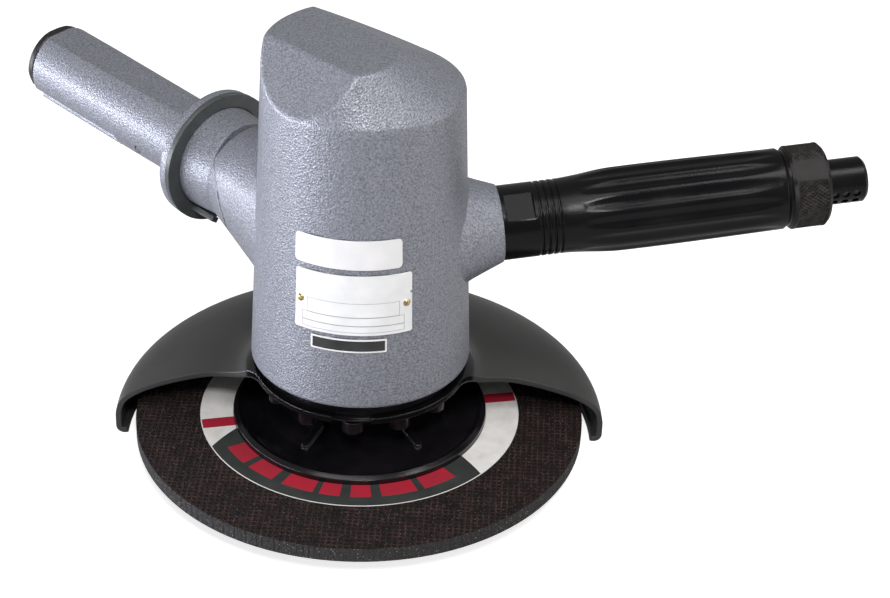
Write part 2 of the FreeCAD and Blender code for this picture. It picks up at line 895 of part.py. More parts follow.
inlet_radius = 15.9
inlet_length = 4.2
inlet_chamfer = 0.9
inlet_flat_angle = -110.0
inlet_flat_distance = 14.9
inlet_bore_radius = 7.5
inlet_thread_length = 16.0
inlet_sleeve_radius = 9.4
strainer_radius = 6.8
strainer_length = 14.0
strainer_wall = 1.0

# Throttle lever and its valve, under the grip. Depths run along the lever's normal.
lever_roll_angle = 195.0
lever_seat_depth = 10.2
lever_seat_start = 132.0
lever_inner = 13.0
lever_sheet = 2.2
lever_width = 13.4
lever_plate_start = 133.4
lever_end = 189.0
lever_corner = 2.0
lever_pin_setback = 15.0
lever_pin_depth = 10.0
lever_pin_radius = 1.5
lever_pin_half_length = 12.6
lever_eye_radius = 2.5
lever_tongue_width = 8.6
lever_tongue_rise = 1.2
slot_side_gap = 0.3
slot_floor_depth = 7.1
slot_end_gap = 1.6
valve_along = 143.0
valve_bore_radius = 6.2
valve_bore_depth = -11.5
valve_seat_low = -3.0
valve_seat_high = 0.0
valve_seat_hole = 3.8
valve_head_radius = 5.2
valve_head_thickness = 2.6
stem_radius = 2.5
stem_tip = 1.0
stem_tip_gap = 0.05
guide_low = 5.9
passage_radius = 3.4
passage_depth = -6.4
outflow_radius = 2.8
outflow_depth = 2.9
throttle_spring_radius = 3.6
throttle_wire_radius = 0.5
throttle_spring_turns = 4

handle_start = throttle_boss_end - spigot_length
flange_start = neck_end + guard_ring_thickness
flange_end = flange_start + hand_flange_thickness
strainer_start = grip_end - inlet_thread_length - strainer_length
lever_outer = lever_inner + lever_sheet
lever_pin_along = lever_seat_start - lever_pin_setback


def rolled(shape):
    """Turn a handle piece so that its +X side points along the lever's normal."""
    return spun(shape, lever_roll_angle)


def crossbar(radius, start, length, along):
    """A cylinder across the handle, from a depth along the lever's normal."""
    return Part.makeCylinder(radius, length, Vector(start, 0, along), Vector(1, 0, 0))


def lever_pin_shape(radius, half_length):
    base = Vector(lever_pin_depth, -half_length, lever_pin_along)
    return Part.makeCylinder(radius, 2 * half_length, base, Vector(0, 1, 0))


def lever_seat():
    far = 2 * grip_radius
    return rolled(block(lever_seat_depth, far, -far, far,
                        lever_seat_start, grip_end + inlet_length + overrun))


def make_throttle_handle():
    outline = [
        (0, handle_start),
        (spigot_radius, handle_start),
        (spigot_radius, neck_start),
        (throttle_boss_size(neck_start), neck_start),
        (throttle_boss_radius, throttle_boss_end),
        (neck_radius, neck_end),
        (neck_radius, flange_start),
        (hand_flange_radius, flange_start),
        (hand_flange_radius, flange_end),
        (grip_root_radius + hand_flange_round, flange_end),
        (grip_root_radius, flange_end + hand_flange_round),
        (grip_radius, grip_full),
        (grip_radius, grip_end - grip_end_chamfer),
        (grip_radius - grip_end_chamfer, grip_end),
        (0, grip_end),
    ]
    body = turned(outline)
    reach = 2 * throttle_boss_radius
    mouth = plate(mating_outline(top_slot_width / 2, lower_slit_width), -reach, reach)
    mouth = mouth.cut(disc(spigot_radius, 0, 2 * throttle_boss_end))
    far = 2 * grip_radius
    top_flat = block(top_flat_distance, far, -far, far, top_flat_start, grip_end + overrun)
    slot_half = lever_tongue_width / 2 + slot_side_gap
    slot = block(slot_floor_depth, far, -slot_half, slot_half,
                 lever_pin_along - lever_eye_radius - slot_end_gap, lever_seat_start + overrun)
    feed = disc(passage_radius, valve_along, strainer_start)
    feed.translate(Vector(passage_depth, 0, 0))
    outflow = disc(outflow_radius, handle_start - overrun, valve_along)
    outflow.translate(Vector(outflow_depth, 0, 0))
    tools = [
        mouth,
        spun(top_flat, top_flat_angle),
        lever_seat(),
        rolled(slot),
        disc(inlet_sleeve_radius, strainer_start + strainer_length, grip_end + overrun),
        disc(strainer_radius, strainer_start, grip_end),
        rolled(feed),
        rolled(outflow),
        rolled(crossbar(valve_bore_radius, valve_bore_depth, far, valve_along)),
        rolled(lever_pin_shape(lever_pin_radius, far)),
    ]
    return solid_of(cut_all(body, tools))


def make_hand_guard_ring():
    inner = neck_radius + guard_ring_gap
    body = ring(guard_ring_radius, inner, neck_end, flange_start)
    tab = block(inner, inner + tab_thickness, -tab_width / 2, tab_width / 2,
                neck_end - tab_reach, neck_end + guard_ring_thickness / 2)
    return joined([body, spun(tab, -tab_angle)])


def make_throttle_lever():
    """A flat lever on a tongue that hooks down to its pin."""
    half = lever_width / 2
    corners = [
        (-half, lever_plate_start),
        (half, lever_plate_start),
        (half, lever_end - lever_corner),
        (half - lever_corner, lever_end),
        (lever_corner - half, lever_end),
        (-half, lever_end - lever_corner),
    ]
    points = [Vector(lever_inner, y, z) for y, z in corners]
    pad = Part.Face(Part.makePolygon(points + points[:1])).extrude(Vector(lever_sheet, 0, 0))
    arm_outline = [
        (lever_pin_depth - lever_eye_radius, lever_pin_along),
        (lever_inner, lever_plate_start),
        (lever_inner, lever_plate_start + overrun),
        (lever_outer, lever_plate_start + overrun),
        (lever_outer, lever_plate_start),
        (lever_pin_depth + lever_eye_radius, lever_pin_along - lever_tongue_rise),
    ]
    tongue_half = lever_tongue_width / 2
    arm = plate(arm_outline, -tongue_half, tongue_half)
    eye = lever_pin_shape(lever_eye_radius, tongue_half)
    hole = lever_pin_shape(lever_pin_radius + turning_fit, lever_width)
    return joined([pad, arm, eye]).cut(hole)


def make_valve_seat():
    seat = crossbar(valve_bore_radius, valve_seat_low, valve_seat_high - valve_seat_low, valve_along)
    return seat.cut(crossbar(valve_seat_hole, -grip_radius, 2 * grip_radius, valve_along))


def make_valve_guide():
    guide = crossbar(valve_bore_radius, guide_low, lever_seat_depth - guide_low, valve_along)
    return guide.cut(crossbar(stem_radius + turning_fit, 0, 2 * grip_radius, valve_along))


def make_valve_stem():
    head_low = valve_seat_low - valve_head_thickness
    tip_start = lever_inner - stem_tip - stem_tip_gap
    head = crossbar(valve_head_radius, head_low, valve_head_thickness, valve_along)
    stem = crossbar(stem_radius, valve_seat_low, tip_start - valve_seat_low, valve_along)
    tip = Part.makeCone(stem_radius, stem_radius - stem_tip, stem_tip,
                        Vector(tip_start, 0, valve_along), Vector(1, 0, 0))
    return joined([head, stem, tip])


def make_throttle_spring():
    coil = make_coil(throttle_spring_radius, throttle_wire_radius, throttle_spring_turns,
                     valve_bore_depth, valve_seat_low - valve_head_thickness)
    coil.rotate(HERE, Vector(0, 1, 0), 90)
    coil.translate(Vector(0, 0, valve_along))
    return coil


def make_inlet_bush():
    outline = [
        (inlet_bore_radius, grip_end - inlet_thread_length),
        (inlet_sleeve_radius, grip_end - inlet_thread_length),
        (inlet_sleeve_radius, grip_end),
        (inlet_radius - inlet_chamfer, grip_end),
        (inlet_radius, grip_end + inlet_chamfer),
        (inlet_radius, grip_end + inlet_length - inlet_chamfer),
        (inlet_radius - inlet_chamfer, grip_end + inlet_length),
        (inlet_bore_radius, grip_end + inlet_length),
    ]
    far = 2 * grip_radius
    side_flat = block(inlet_flat_distance, far, -far, far, grip_end, grip_end + far)
    top_flat = block(inlet_flat_distance, far, -far, far, grip_end, grip_end + far)
    return cut_all(turned(outline), [
        spun(side_flat, inlet_flat_angle), spun(top_flat, top_flat_angle), lever_seat()])


def make_inlet_strainer():
    body = disc(strainer_radius, strainer_start, strainer_start + strainer_length)
    hollow = disc(strainer_radius - strainer_wall, strainer_start + strainer_wall,
                  strainer_start + strainer_length + overrun)
    return body.cut(hollow)


# Exhaust handle: a hollow fluted grip with wrench flats and grooves at its root,
# a knurled lock ring, and a perforated exhaust tube round a silencer.
root_radius = 14.5
wrench_start = 54.6
wrench_end = 65.4
wrench_distance = 13.3
wrench_flat_angle = 36.0
groove_count = 4
groove_start = 67.2
groove_pitch = 2.5
groove_width = 1.2
groove_depth = 0.9
barrel_start = 77.5
barrel_ramp = 6.5
barrel_radius = 15.9
barrel_end = 164.0
barrel_neck_radius = 15.0
flute_count = 14
flute_radius = 3.4
flute_depth = 0.9
flute_start = 86.0
flute_end = 158.0
handle_bore_radius = 6.5
muffler_radius = 10.0
muffler_start = 150.0
thread_neck_radius = 12.5
thread_neck_length = 7.6
lock_ring_start = 166.4
lock_ring_length = 15.0
lock_ring_radius = 16.4
lock_ring_chamfer = 1.3
lock_ring_flat = 15.3
tube_radius = 8.9
tube_wall = 1.6
tube_end = 198.1
tube_end_round = 1.2
tube_flange_thickness = 3.0
vent_row_count = 5
vent_row_angle = 26.0
vent_first_angle = 98.0
vent_count = 3
vent_radius = 1.5
vent_along = 184.7
vent_pitch = 4.25
silencer_radius = 7.0
silencer_bore = 3.5

thread_neck_end = lock_ring_start + thread_neck_length
lock_ring_end = lock_ring_start + lock_ring_length
tube_flange_end = thread_neck_end + tube_flange_thickness


def make_exhaust_handle():
    outline = [
        (0, exhaust_boss_end - exhaust_spigot_length),
        (exhaust_spigot_radius, exhaust_boss_end - exhaust_spigot_length),
        (exhaust_spigot_radius, exhaust_boss_end),
        (root_radius, exhaust_boss_end),
        (root_radius, barrel_start),
        (barrel_radius, barrel_start + barrel_ramp),
        (barrel_radius, barrel_end),
        (barrel_neck_radius, barrel_end + lock_ring_chamfer),
        (barrel_neck_radius, lock_ring_start),
        (thread_neck_radius, lock_ring_start),
        (thread_neck_radius, thread_neck_end),
        (0, thread_neck_end),
    ]
    tools = [disc(handle_bore_radius, 0, thread_neck_end + overrun),
             disc(muffler_radius, muffler_start, thread_neck_end + overrun)]
    for index in range(groove_count):
        bottom = groove_start + index * groove_pitch
        tools.append(ring(2 * root_radius, root_radius - groove_depth, bottom, bottom + groove_width))
    tools += flat_pair(wrench_distance, wrench_start, wrench_end)
    reach = barrel_radius + flute_radius - flute_depth
    flute = joined([
        Part.makeCylinder(flute_radius, flute_end - flute_start, Vector(reach, 0, flute_start)),
        Part.makeSphere(flute_radius, Vector(reach, 0, flute_start)),
        Part.makeSphere(flute_radius, Vector(reach, 0, flute_end)),
    ])
    return cut_all(turned(outline), tools + spread(flute, flute_count))


def flat_pair(distance, start, end):
    """Two blocks that cut a pair of opposite flats across the exhaust handle."""
    far = 2 * barrel_radius
    flat = block(distance, far, -far, far, start, end)
    return spread(flat, 2, wrench_flat_angle)


def make_lock_ring():
    outline = [
        (thread_neck_radius, lock_ring_start),
        (lock_ring_radius - lock_ring_chamfer, lock_ring_start),
        (lock_ring_radius, lock_ring_start + lock_ring_chamfer),
        (lock_ring_radius, lock_ring_end - lock_ring_chamfer),
        (lock_ring_radius - lock_ring_chamfer, lock_ring_end),
        (tube_radius, lock_ring_end),
        (tube_radius, tube_flange_end),
        (thread_neck_radius, tube_flange_end),
    ]
    flats = flat_pair(lock_ring_flat, lock_ring_start + lock_ring_chamfer,
                      lock_ring_end - lock_ring_chamfer)
    return cut_all(turned(outline), flats)


def make_exhaust_tube():
    bore = tube_radius - tube_wall
    outline = [
        (bore, thread_neck_end),
        (thread_neck_radius, thread_neck_end),
        (thread_neck_radius, tube_flange_end),
        (tube_radius, tube_flange_end),
        (tube_radius, tube_end - tube_end_round),
        (tube_radius - tube_end_round, tube_end),
        (0, tube_end),
        (0, tube_end - tube_wall),
        (bore, tube_end - tube_wall),
    ]
    body = turned(outline)
    for row in range(vent_row_count):
        for index in range(vent_count):
            base = Vector(0, 0, vent_along + index * vent_pitch)
            hole = Part.makeCylinder(vent_radius, 2 * tube_radius, base, Vector(1, 0, 0))
            body = body.cut(spun(hole, vent_first_angle + row * vent_row_angle))
    return body


def make_silencer():
    return ring(silencer_radius, silencer_bore, muffler_start, tube_end - tube_wall)


# Front plates: a bare rating plate held by two drive rivets, and two bare labels,
# all curved to the housing wall.
plate_low = 67.6
plate_high = 92.5
plate_half_angle = 31.3
plate_sheet = 0.5
upper_label_low = 95.0
upper_label_high = 107.0
upper_label_angle = -3.3
upper_label_half_angle = 29.3
lower_label_low = 60.0
lower_label_high = 65.7
lower_label_angle = -2.1
lower_label_half_angle = 19.9
label_sheet = 0.2
rivet_radius = 1.0
rivet_head_radius = 1.5
rivet_head_height = 0.6
rivet_length = 5.0
rivet_height = 80.0
rivet_angle = 28.3


def curved_sheet(low, high, turn, half_angle, sheet):
    """A thin sheet on the housing wall, centred at an angle from the front."""
    outer = Part.makeCone(housing_radius(low) + sheet, housing_radius(high) + sheet,
                          high - low, Vector(0, 0, low), UP, 2 * half_angle)
    inner = cone(housing_radius(low), housing_radius(high), low, high)
    return spun(solid_of(outer.cut(inner)), turn - half_angle - 90)


def rivet_shapes(radius, start, length):
    shapes = []
    for side in (1, -1):
        rivet = Part.makeCylinder(radius, length, Vector(start, 0, rivet_height), Vector(1, 0, 0))
        shapes.append(spun(rivet, side * rivet_angle - 90))
    return shapes


def rivet_seat():
    """Where a rivet's head rests: on the plate at the low side of the tapered wall."""
    return housing_radius(rivet_height - rivet_head_radius) + plate_sheet


def rivet_shanks():
    return rivet_shapes(rivet_radius, rivet_seat() - rivet_length, rivet_length)


def make_nameplate():
    sheet = curved_sheet(plate_low, plate_high, 0, plate_half_angle, plate_sheet)
    return solid_of(cut_all(sheet, rivet_shapes(rivet_radius, 0, 2 * housing_bottom_radius)))


def make_nameplate_rivets():
    heads = rivet_shapes(rivet_head_radius, rivet_seat(), rivet_head_height)
    return Part.makeCompound([shank.fuse(head) for shank, head in zip(rivet_shanks(), heads)])


def build():
    lower_middle = lower_bearing_bottom + lower_bearing_width / 2
    upper_middle = upper_bearing_bottom + upper_bearing_width / 2
    housing = make_motor_housing()
    pieces["motor_housing"] = cut_all(housing, rivet_shanks())
    pieces["bearing_cap"] = make_bearing_cap()
    pieces["cap_screws"] = make_cap_screws()
    pieces["shaft_seal"] = make_shaft_seal()
    pieces["wheel_guard"] = make_wheel_guard()
    pieces["grinding_wheel"] = make_grinding_wheel()
    pieces["wheel_flange"] = make_wheel_flange()
    pieces["wheel_nut"] = make_wheel_nut()
    pieces["spindle"] = make_spindle()
    pieces["rotor"] = make_rotor()
    pieces["rotor_key"] = make_rotor_key()
    pieces["rotor_vanes"] = make_rotor_vanes()
    pieces["cylinder_liner"] = make_cylinder_liner()
    pieces["lower_end_plate"] = make_lower_end_plate()
    pieces["upper_end_plate"] = make_upper_end_plate()
    pieces["lower_bearing_outer_race"] = make_outer_race(
        lower_pitch_radius, lower_ball_radius, lower_bearing_radius,
        lower_bearing_bottom, lower_bearing_width)
    pieces["lower_bearing_inner_race"] = make_inner_race(
        lower_pitch_radius, lower_ball_radius, journal_radius,
        lower_bearing_bottom, lower_bearing_width)
    pieces["lower_bearing_cage"] = make_ball_cage(
        lower_pitch_radius, lower_ball_radius, lower_ball_count, lower_middle)
    pieces["lower_bearing_balls"] = make_balls(
        lower_pitch_radius, lower_ball_radius, lower_ball_count, lower_middle)
    pieces["upper_bearing_outer_race"] = make_outer_race(
        upper_pitch_radius, upper_ball_radius, upper_bearing_radius,
        upper_bearing_bottom, upper_bearing_width)
    pieces["upper_bearing_inner_race"] = make_inner_race(
        upper_pitch_radius, upper_ball_radius, upper_journal_radius,
        upper_bearing_bottom, upper_bearing_width)
    pieces["upper_bearing_cage"] = make_ball_cage(
        upper_pitch_radius, upper_ball_radius, upper_ball_count, upper_middle)
    pieces["upper_bearing_balls"] = make_balls(
        upper_pitch_radius, upper_ball_radius, upper_ball_count, upper_middle)
    pieces["governor_cage"] = make_governor_cage()
    pieces["governor_pins"] = Part.makeCompound(governor_pin_shapes(governor_pin_radius))
    pieces["governor_weight_right"] = make_governor_weight(1)
    pieces["governor_weight_left"] = make_governor_weight(-1)
    pieces["governor_valve"] = make_governor_valve()
    pieces["governor_bush"] = make_governor_bush()
    pieces["governor_spring"] = make_coil(
        governor_spring_radius, governor_wire_radius, governor_spring_turns,
        valve_disc_top, bush_bottom)
    pieces["throttle_handle"] = on_throttle(make_throttle_handle())
    pieces["hand_guard_ring"] = on_throttle(make_hand_guard_ring())
    pieces["throttle_lever"] = on_throttle(rolled(make_throttle_lever()))
    pin = lever_pin_shape(lever_pin_radius, lever_pin_half_length)
    pieces["lever_pin"] = on_throttle(rolled(pin))
    pieces["valve_stem"] = on_throttle(rolled(make_valve_stem()))
    pieces["valve_seat"] = on_throttle(rolled(make_valve_seat()))
    pieces["valve_guide"] = on_throttle(rolled(make_valve_guide()))
    pieces["throttle_spring"] = on_throttle(rolled(make_throttle_spring()))
    pieces["inlet_bush"] = on_throttle(make_inlet_bush())
    pieces["inlet_strainer"] = on_throttle(make_inlet_strainer())
    pieces["exhaust_handle"] = on_exhaust(make_exhaust_handle())
    pieces["lock_ring"] = on_exhaust(make_lock_ring())
    pieces["exhaust_tube"] = on_exhaust(make_exhaust_tube())
    pieces["silencer"] = on_exhaust(make_silencer())
    pieces["nameplate"] = make_nameplate()
    pieces["upper_label"] = curved_sheet(
        upper_label_low, upper_label_high, upper_label_angle, upper_label_half_angle, label_sheet)
    pieces["lower_label"] = curved_sheet(
        lower_label_low, lower_label_high, lower_label_angle, lower_label_half_angle, label_sheet)
    pieces["nameplate_rivets"] = make_nameplate_rivets()


build()
os.makedirs("parts", exist_ok=True)
for name, shape in pieces.items():
    shape.exportStep("parts/" + name + ".step")
    print(name, len(shape.Solids), shape.isValid(), round(shape.Volume, 1))
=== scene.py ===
import json
import math

import bpy
from mathutils import Matrix, Vector


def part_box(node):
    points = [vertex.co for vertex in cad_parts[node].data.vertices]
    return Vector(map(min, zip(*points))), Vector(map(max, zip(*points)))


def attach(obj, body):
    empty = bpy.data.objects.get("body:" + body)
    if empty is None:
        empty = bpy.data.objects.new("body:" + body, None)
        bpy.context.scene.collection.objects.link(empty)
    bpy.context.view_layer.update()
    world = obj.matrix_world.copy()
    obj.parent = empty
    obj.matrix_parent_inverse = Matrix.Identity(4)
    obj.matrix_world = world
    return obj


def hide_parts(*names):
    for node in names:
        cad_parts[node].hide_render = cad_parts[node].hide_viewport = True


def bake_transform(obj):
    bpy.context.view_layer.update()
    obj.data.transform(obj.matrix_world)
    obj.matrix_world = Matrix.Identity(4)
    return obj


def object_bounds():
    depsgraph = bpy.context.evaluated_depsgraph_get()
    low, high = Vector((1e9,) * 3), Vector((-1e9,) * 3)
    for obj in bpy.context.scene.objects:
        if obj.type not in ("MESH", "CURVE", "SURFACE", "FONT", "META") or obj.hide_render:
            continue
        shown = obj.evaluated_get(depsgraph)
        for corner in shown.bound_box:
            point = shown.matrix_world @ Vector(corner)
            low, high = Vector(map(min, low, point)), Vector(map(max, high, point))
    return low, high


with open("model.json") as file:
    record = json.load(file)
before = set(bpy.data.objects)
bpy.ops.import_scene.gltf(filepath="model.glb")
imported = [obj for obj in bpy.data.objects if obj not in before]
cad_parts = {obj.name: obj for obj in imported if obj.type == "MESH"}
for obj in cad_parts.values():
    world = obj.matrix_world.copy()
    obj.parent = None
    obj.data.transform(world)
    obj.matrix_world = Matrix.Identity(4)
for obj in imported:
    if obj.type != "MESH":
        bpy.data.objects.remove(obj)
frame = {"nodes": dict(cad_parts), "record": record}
cad_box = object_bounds()

# Camera: an 88 mm lens, a little above and in front of the rating plate, looking down
# by 32 degrees and rolled by 2, as in a catalogue shot of the grinder.
camera_eye = Vector((0.05349, -0.71136, 0.50943))
camera_aim = Vector((-0.02488, 0.84476, -0.53458))
camera_roll = 0.0356
camera_lens = 87.98
nearest_seen = 0.01

camera_side = camera_aim.cross(Vector((0, 0, 1))).normalized()
camera_up = camera_side.cross(camera_aim).normalized()
rolled_side = math.cos(camera_roll) * camera_side + math.sin(camera_roll) * camera_up
rolled_up = math.cos(camera_roll) * camera_up - math.sin(camera_roll) * camera_side
camera_data = bpy.data.cameras.new("catalogue_camera")
camera_data.lens = camera_lens
camera_data.clip_start = nearest_seen
camera = bpy.data.objects.new("catalogue_camera", camera_data)
bpy.context.scene.collection.objects.link(camera)
camera_turn = Matrix((rolled_side, rolled_up, -camera_aim)).transposed()
camera.matrix_world = Matrix.Translation(camera_eye) @ camera_turn.to_4x4()
bpy.context.scene.camera = camera


# Studio: a pale table, exposed to pure white for the lens as on a light table, two soft
# boxes low on the left, one overhead and in front with two small cards for the crown and
# the black handle, and a weak warm one on the right.
floor_reach = 6.0
floor_pale = (0.55, 0.55, 0.55, 1)
floor_paler = (0.60, 0.60, 0.60, 1)
floor_blotch = 0.5
floor_glow = 0.74
air_white = (1.0, 1.0, 1.0, 1)
air_strength = 0.30
air_seen = 1.0
studio_lights = {
    # name: (place, aim, width, height, watts, colour)
    "low_left_box": ((-0.95, 0.06, 0.06), (0, 0, 0.05), 0.8, 0.12, 6.6, (0.89, 0.90, 1.0)),
    "front_left_box": ((-0.80, -0.48, 0.03), (0, 0, 0.03), 0.42, 0.07, 5.4, (0.89, 0.90, 1.0)),
    "overhead_box": ((-0.10, -0.34, 1.15), (0, 0, 0.14), 0.75, 0.56, 3.8, (1.0, 1.0, 1.0)),
    "front_high_card": ((0.10, -0.72, 0.92), (0, 0, 0.14), 0.20, 0.20, 5.6, (1.0, 1.0, 1.0)),
    "handle_card": ((0.62, -0.13, 1.15), (0.17, 0, 0.09), 0.44, 0.40, 4.2, (0.97, 0.98, 1.0)),
    "right_box": ((1.10, -0.18, 0.30), (0, 0, 0.1), 0.5, 0.5, 2.6, (1.0, 0.96, 0.91)),
}


def shader_node(tree, kind, inputs=None, **settings):
    """Adds a shader node. An input that is another node's socket is wired to it."""
    made = tree.nodes.new("ShaderNode" + kind)
    for name, value in settings.items():
        setattr(made, name, value)
    for name, value in (inputs or {}).items():
        if isinstance(value, bpy.types.NodeSocket):
            tree.links.new(value, made.inputs[name])
        else:
            made.inputs[name].default_value = value
    return made


def ramp(tree, mask, *stops):
    """Colours along a mask, from (place, colour) stops."""
    made = shader_node(tree, "ValToRGB", {"Fac": mask})
    while len(made.color_ramp.elements) < len(stops):
        made.color_ramp.elements.new(1.0)
    for element, (place, colour) in zip(made.color_ramp.elements, stops):
        element.position = place
        element.color = colour
    return made.outputs["Color"]


def noise(tree, at, scale, detail, roughness=0.5, **settings):
    """A noise from 0 to 1; its scale is one over the size of its blotches in metres."""
    made = shader_node(tree, "TexNoise", {"Vector": at, "Scale": scale, "Detail": detail,
                                          "Roughness": roughness}, **settings)
    return made.outputs["Fac"]


def finish(name):
    """Starts a material: returns it, its tree, its shader and the piece's own coordinates."""
    material = bpy.data.materials.new(name)
    material.use_nodes = True
    tree = material.node_tree
    at = shader_node(tree, "TexCoord").outputs["Object"]
    return material, tree, tree.nodes["Principled BSDF"], at


def coat(tree, shader, **values):
    """Sets the shader's sockets: a number stays on the socket, a node's output is wired."""
    for label, value in values.items():
        socket = shader.inputs[label.replace("_", " ")]
        if isinstance(value, bpy.types.NodeSocket):
            tree.links.new(value, socket)
        else:
            socket.default_value = value


world = bpy.data.worlds.new("studio_air")
world.use_nodes = True
background = world.node_tree.nodes["Background"].inputs
background["Color"].default_value = air_white
seen = shader_node(world.node_tree, "LightPath").outputs["Is Camera Ray"]
air = shader_node(world.node_tree, "MapRange", {"Value": seen, "To Min": air_strength,
                                                "To Max": air_seen})
world.node_tree.links.new(air.outputs["Result"], background["Strength"])
bpy.context.scene.world = world
bpy.context.scene.view_settings.view_transform = "Standard"

for name, (place, aim, width, height, watts, colour) in studio_lights.items():
    light_data = bpy.data.lights.new(name, "AREA")
    light_data.shape = "RECTANGLE"
    light_data.size = width
    light_data.size_y = height
    light_data.energy = watts
    light_data.color = colour
    light = bpy.data.objects.new(name, light_data)
    light.visible_camera = False
    bpy.context.scene.collection.objects.link(light)
    sight = Vector(aim) - Vector(place)
    light.matrix_world = Matrix.Translation(place) @ sight.to_track_quat("-Z", "Y").to_matrix().to_4x4()

table_finish, tree, shader, at = finish("table_white")
blotch = noise(tree, at, 1 / floor_blotch, detail=2.0, roughness=0.55)
seen = shader_node(tree, "LightPath").outputs["Is Camera Ray"]
glow = shader_node(tree, "Math", {0: seen, 1: floor_glow}, operation="MULTIPLY").outputs[0]
coat(tree, shader, Base_Color=ramp(tree, blotch, (0.0, floor_pale), (1.0, floor_paler)),
     Roughness=0.8, Specular_IOR_Level=0.1, Emission_Color=air_white, Emission_Strength=glow)

table_mesh = bpy.data.meshes.new("table_top")
table_corners = [(x * floor_reach, y * floor_reach, cad_box[0][2])
                 for x, y in ((-1, -1), (1, -1), (1, 1), (-1, 1))]
table_mesh.from_pydata(table_corners, [], [(0, 1, 2, 3)])
table_mesh.materials.append(table_finish)
table_top = bpy.data.objects.new("table_top", table_mesh)
bpy.context.scene.collection.objects.link(table_top)


# Motor housing: one aluminium casting, sprayed with blue-grey hammer enamel. The enamel
# dries in shallow cells under a millimetre wide, with paler rims that catch the light.
# The throttle handle's casting and its lever are painted with it.
enamel_deep = (0.128, 0.135, 0.158, 1)
enamel_mean = (0.196, 0.205, 0.235, 1)
enamel_pale = (0.285, 0.297, 0.334, 1)
# Paler grey for the rubbed edges: partly real wear, partly a painted highlight along the edges.
enamel_wear_and_edge_highlight = (0.46, 0.47, 0.49, 1)
enamel_cell = 0.00072
enamel_wander = 0.0005
enamel_relief = 0.0002
enamel_edge = 0.0014


def effect(name, inputs, outputs):
    """Starts a node group: inputs are {name: default}, outputs are {name: kind of socket}."""
    group = bpy.data.node_groups.new(name, "ShaderNodeTree")
    for label, value in inputs.items():
        socket = group.interface.new_socket(label, in_out="INPUT", socket_type="NodeSocketFloat")
        socket.default_value = value
    for label, kind in outputs.items():
        group.interface.new_socket(label, in_out="OUTPUT", socket_type="NodeSocket" + kind)
    return group, group.nodes.new("NodeGroupInput").outputs, group.nodes.new("NodeGroupOutput").inputs


def use(tree, group, **values):
    """Places a node group with its own values and gives its outputs."""
    made = tree.nodes.new("ShaderNodeGroup")
    made.node_tree = group
    for label, value in values.items():
        made.inputs[label.replace("_", " ")].default_value = value
    return made.outputs


def sums(tree, way, *terms):
    """The terms put together by one kind of sum, such as ADD or MULTIPLY."""
    total = terms[0]
    for term in terms[1:]:
        total = shader_node(tree, "Math", {0: total, 1: term}, operation=way).outputs[0]
    return total


def spread_out(tree, mask, low, high, first=0.0, last=1.0):
    """A mask brought from the range first to last to the range low to high, and kept there."""
    return shader_node(tree, "MapRange", {"Value": mask, "From Min": first, "From Max": last,
                                          "To Min": low, "To Max": high}).outputs["Result"]


def blended(tree, mask, first, second):
    """Two colours mixed by a mask."""
    made = shader_node(tree, "Mix", data_type="RGBA")
    for place, value in ((0, mask), (6, first), (7, second)):
        if isinstance(value, bpy.types.NodeSocket):
            tree.links.new(value, made.inputs[place])
        else:
            made.inputs[place].default_value = value
    return made.outputs[2]


def relief(tree, height, depth, edge):
    """The normal of a surface with small relief, whose sharp edges are broken by a radius."""
    broken = shader_node(tree, "Bevel", {"Radius": edge}, samples=6).outputs["Normal"]
    bump = shader_node(tree, "Bump", {"Height": height, "Strength": 1.0, "Distance": depth,
                                      "Normal": broken})
    return bump.outputs["Normal"]


def texture_scale(tree, size, period=1.0):
    """The scale that gives a texture's features a size; period is their size at scale 1."""
    return shader_node(tree, "Math", {0: period, 1: size}, operation="DIVIDE").outputs[0]


def dress(material, *names):
    """Puts a material on every slot of the named nodes."""
    for name in names:
        slots = frame["nodes"][name].data.materials
        for place in range(len(slots)):
            slots[place] = material
        if not len(slots):
            slots.append(material)


# Worn edges: where the surface turns within a short radius, broken up by a noise.
worn_edges, given, gives = effect("worn_edges", {"Radius": 0.0008, "Amount": 1.0, "Patch Size": 0.004},
                                  {"Mask": "Float"})
flat_normal = shader_node(worn_edges, "NewGeometry").outputs["Normal"]
bent_normal = shader_node(worn_edges, "Bevel", {"Radius": given["Radius"]}, samples=6).outputs["Normal"]
likeness = shader_node(worn_edges, "VectorMath", {0: flat_normal, 1: bent_normal},
                       operation="DOT_PRODUCT").outputs["Value"]
edge = spread_out(worn_edges, likeness, 1.0, 0.0, first=0.80, last=0.995)
place = shader_node(worn_edges, "TexCoord").outputs["Object"]
patchy = noise(worn_edges, place, texture_scale(worn_edges, given["Patch Size"]), detail=5.0)
torn = spread_out(worn_edges, patchy, 0.0, 1.0, first=0.42, last=0.62)
worn_edges.links.new(sums(worn_edges, "MULTIPLY", edge, torn, given["Amount"]), gives["Mask"])

# Grain: broad faint clouds, fine specks and a height, for every painted or plain surface.
grain, given, gives = effect("grain", {"Cloud Size": 0.012, "Speck Size": 0.0004},
                             {"Cloud": "Float", "Speck": "Float", "Height": "Float"})
place = shader_node(grain, "TexCoord").outputs["Object"]
cloudy = noise(grain, place, texture_scale(grain, given["Cloud Size"]), detail=5.0)
speckled = noise(grain, place, texture_scale(grain, given["Speck Size"]), detail=2.0)
grain.links.new(spread_out(grain, cloudy, 0.0, 1.0, first=0.32, last=0.68), gives["Cloud"])
grain.links.new(spread_out(grain, speckled, 0.0, 1.0, first=0.35, last=0.65), gives["Speck"])
grain.links.new(speckled, gives["Height"])

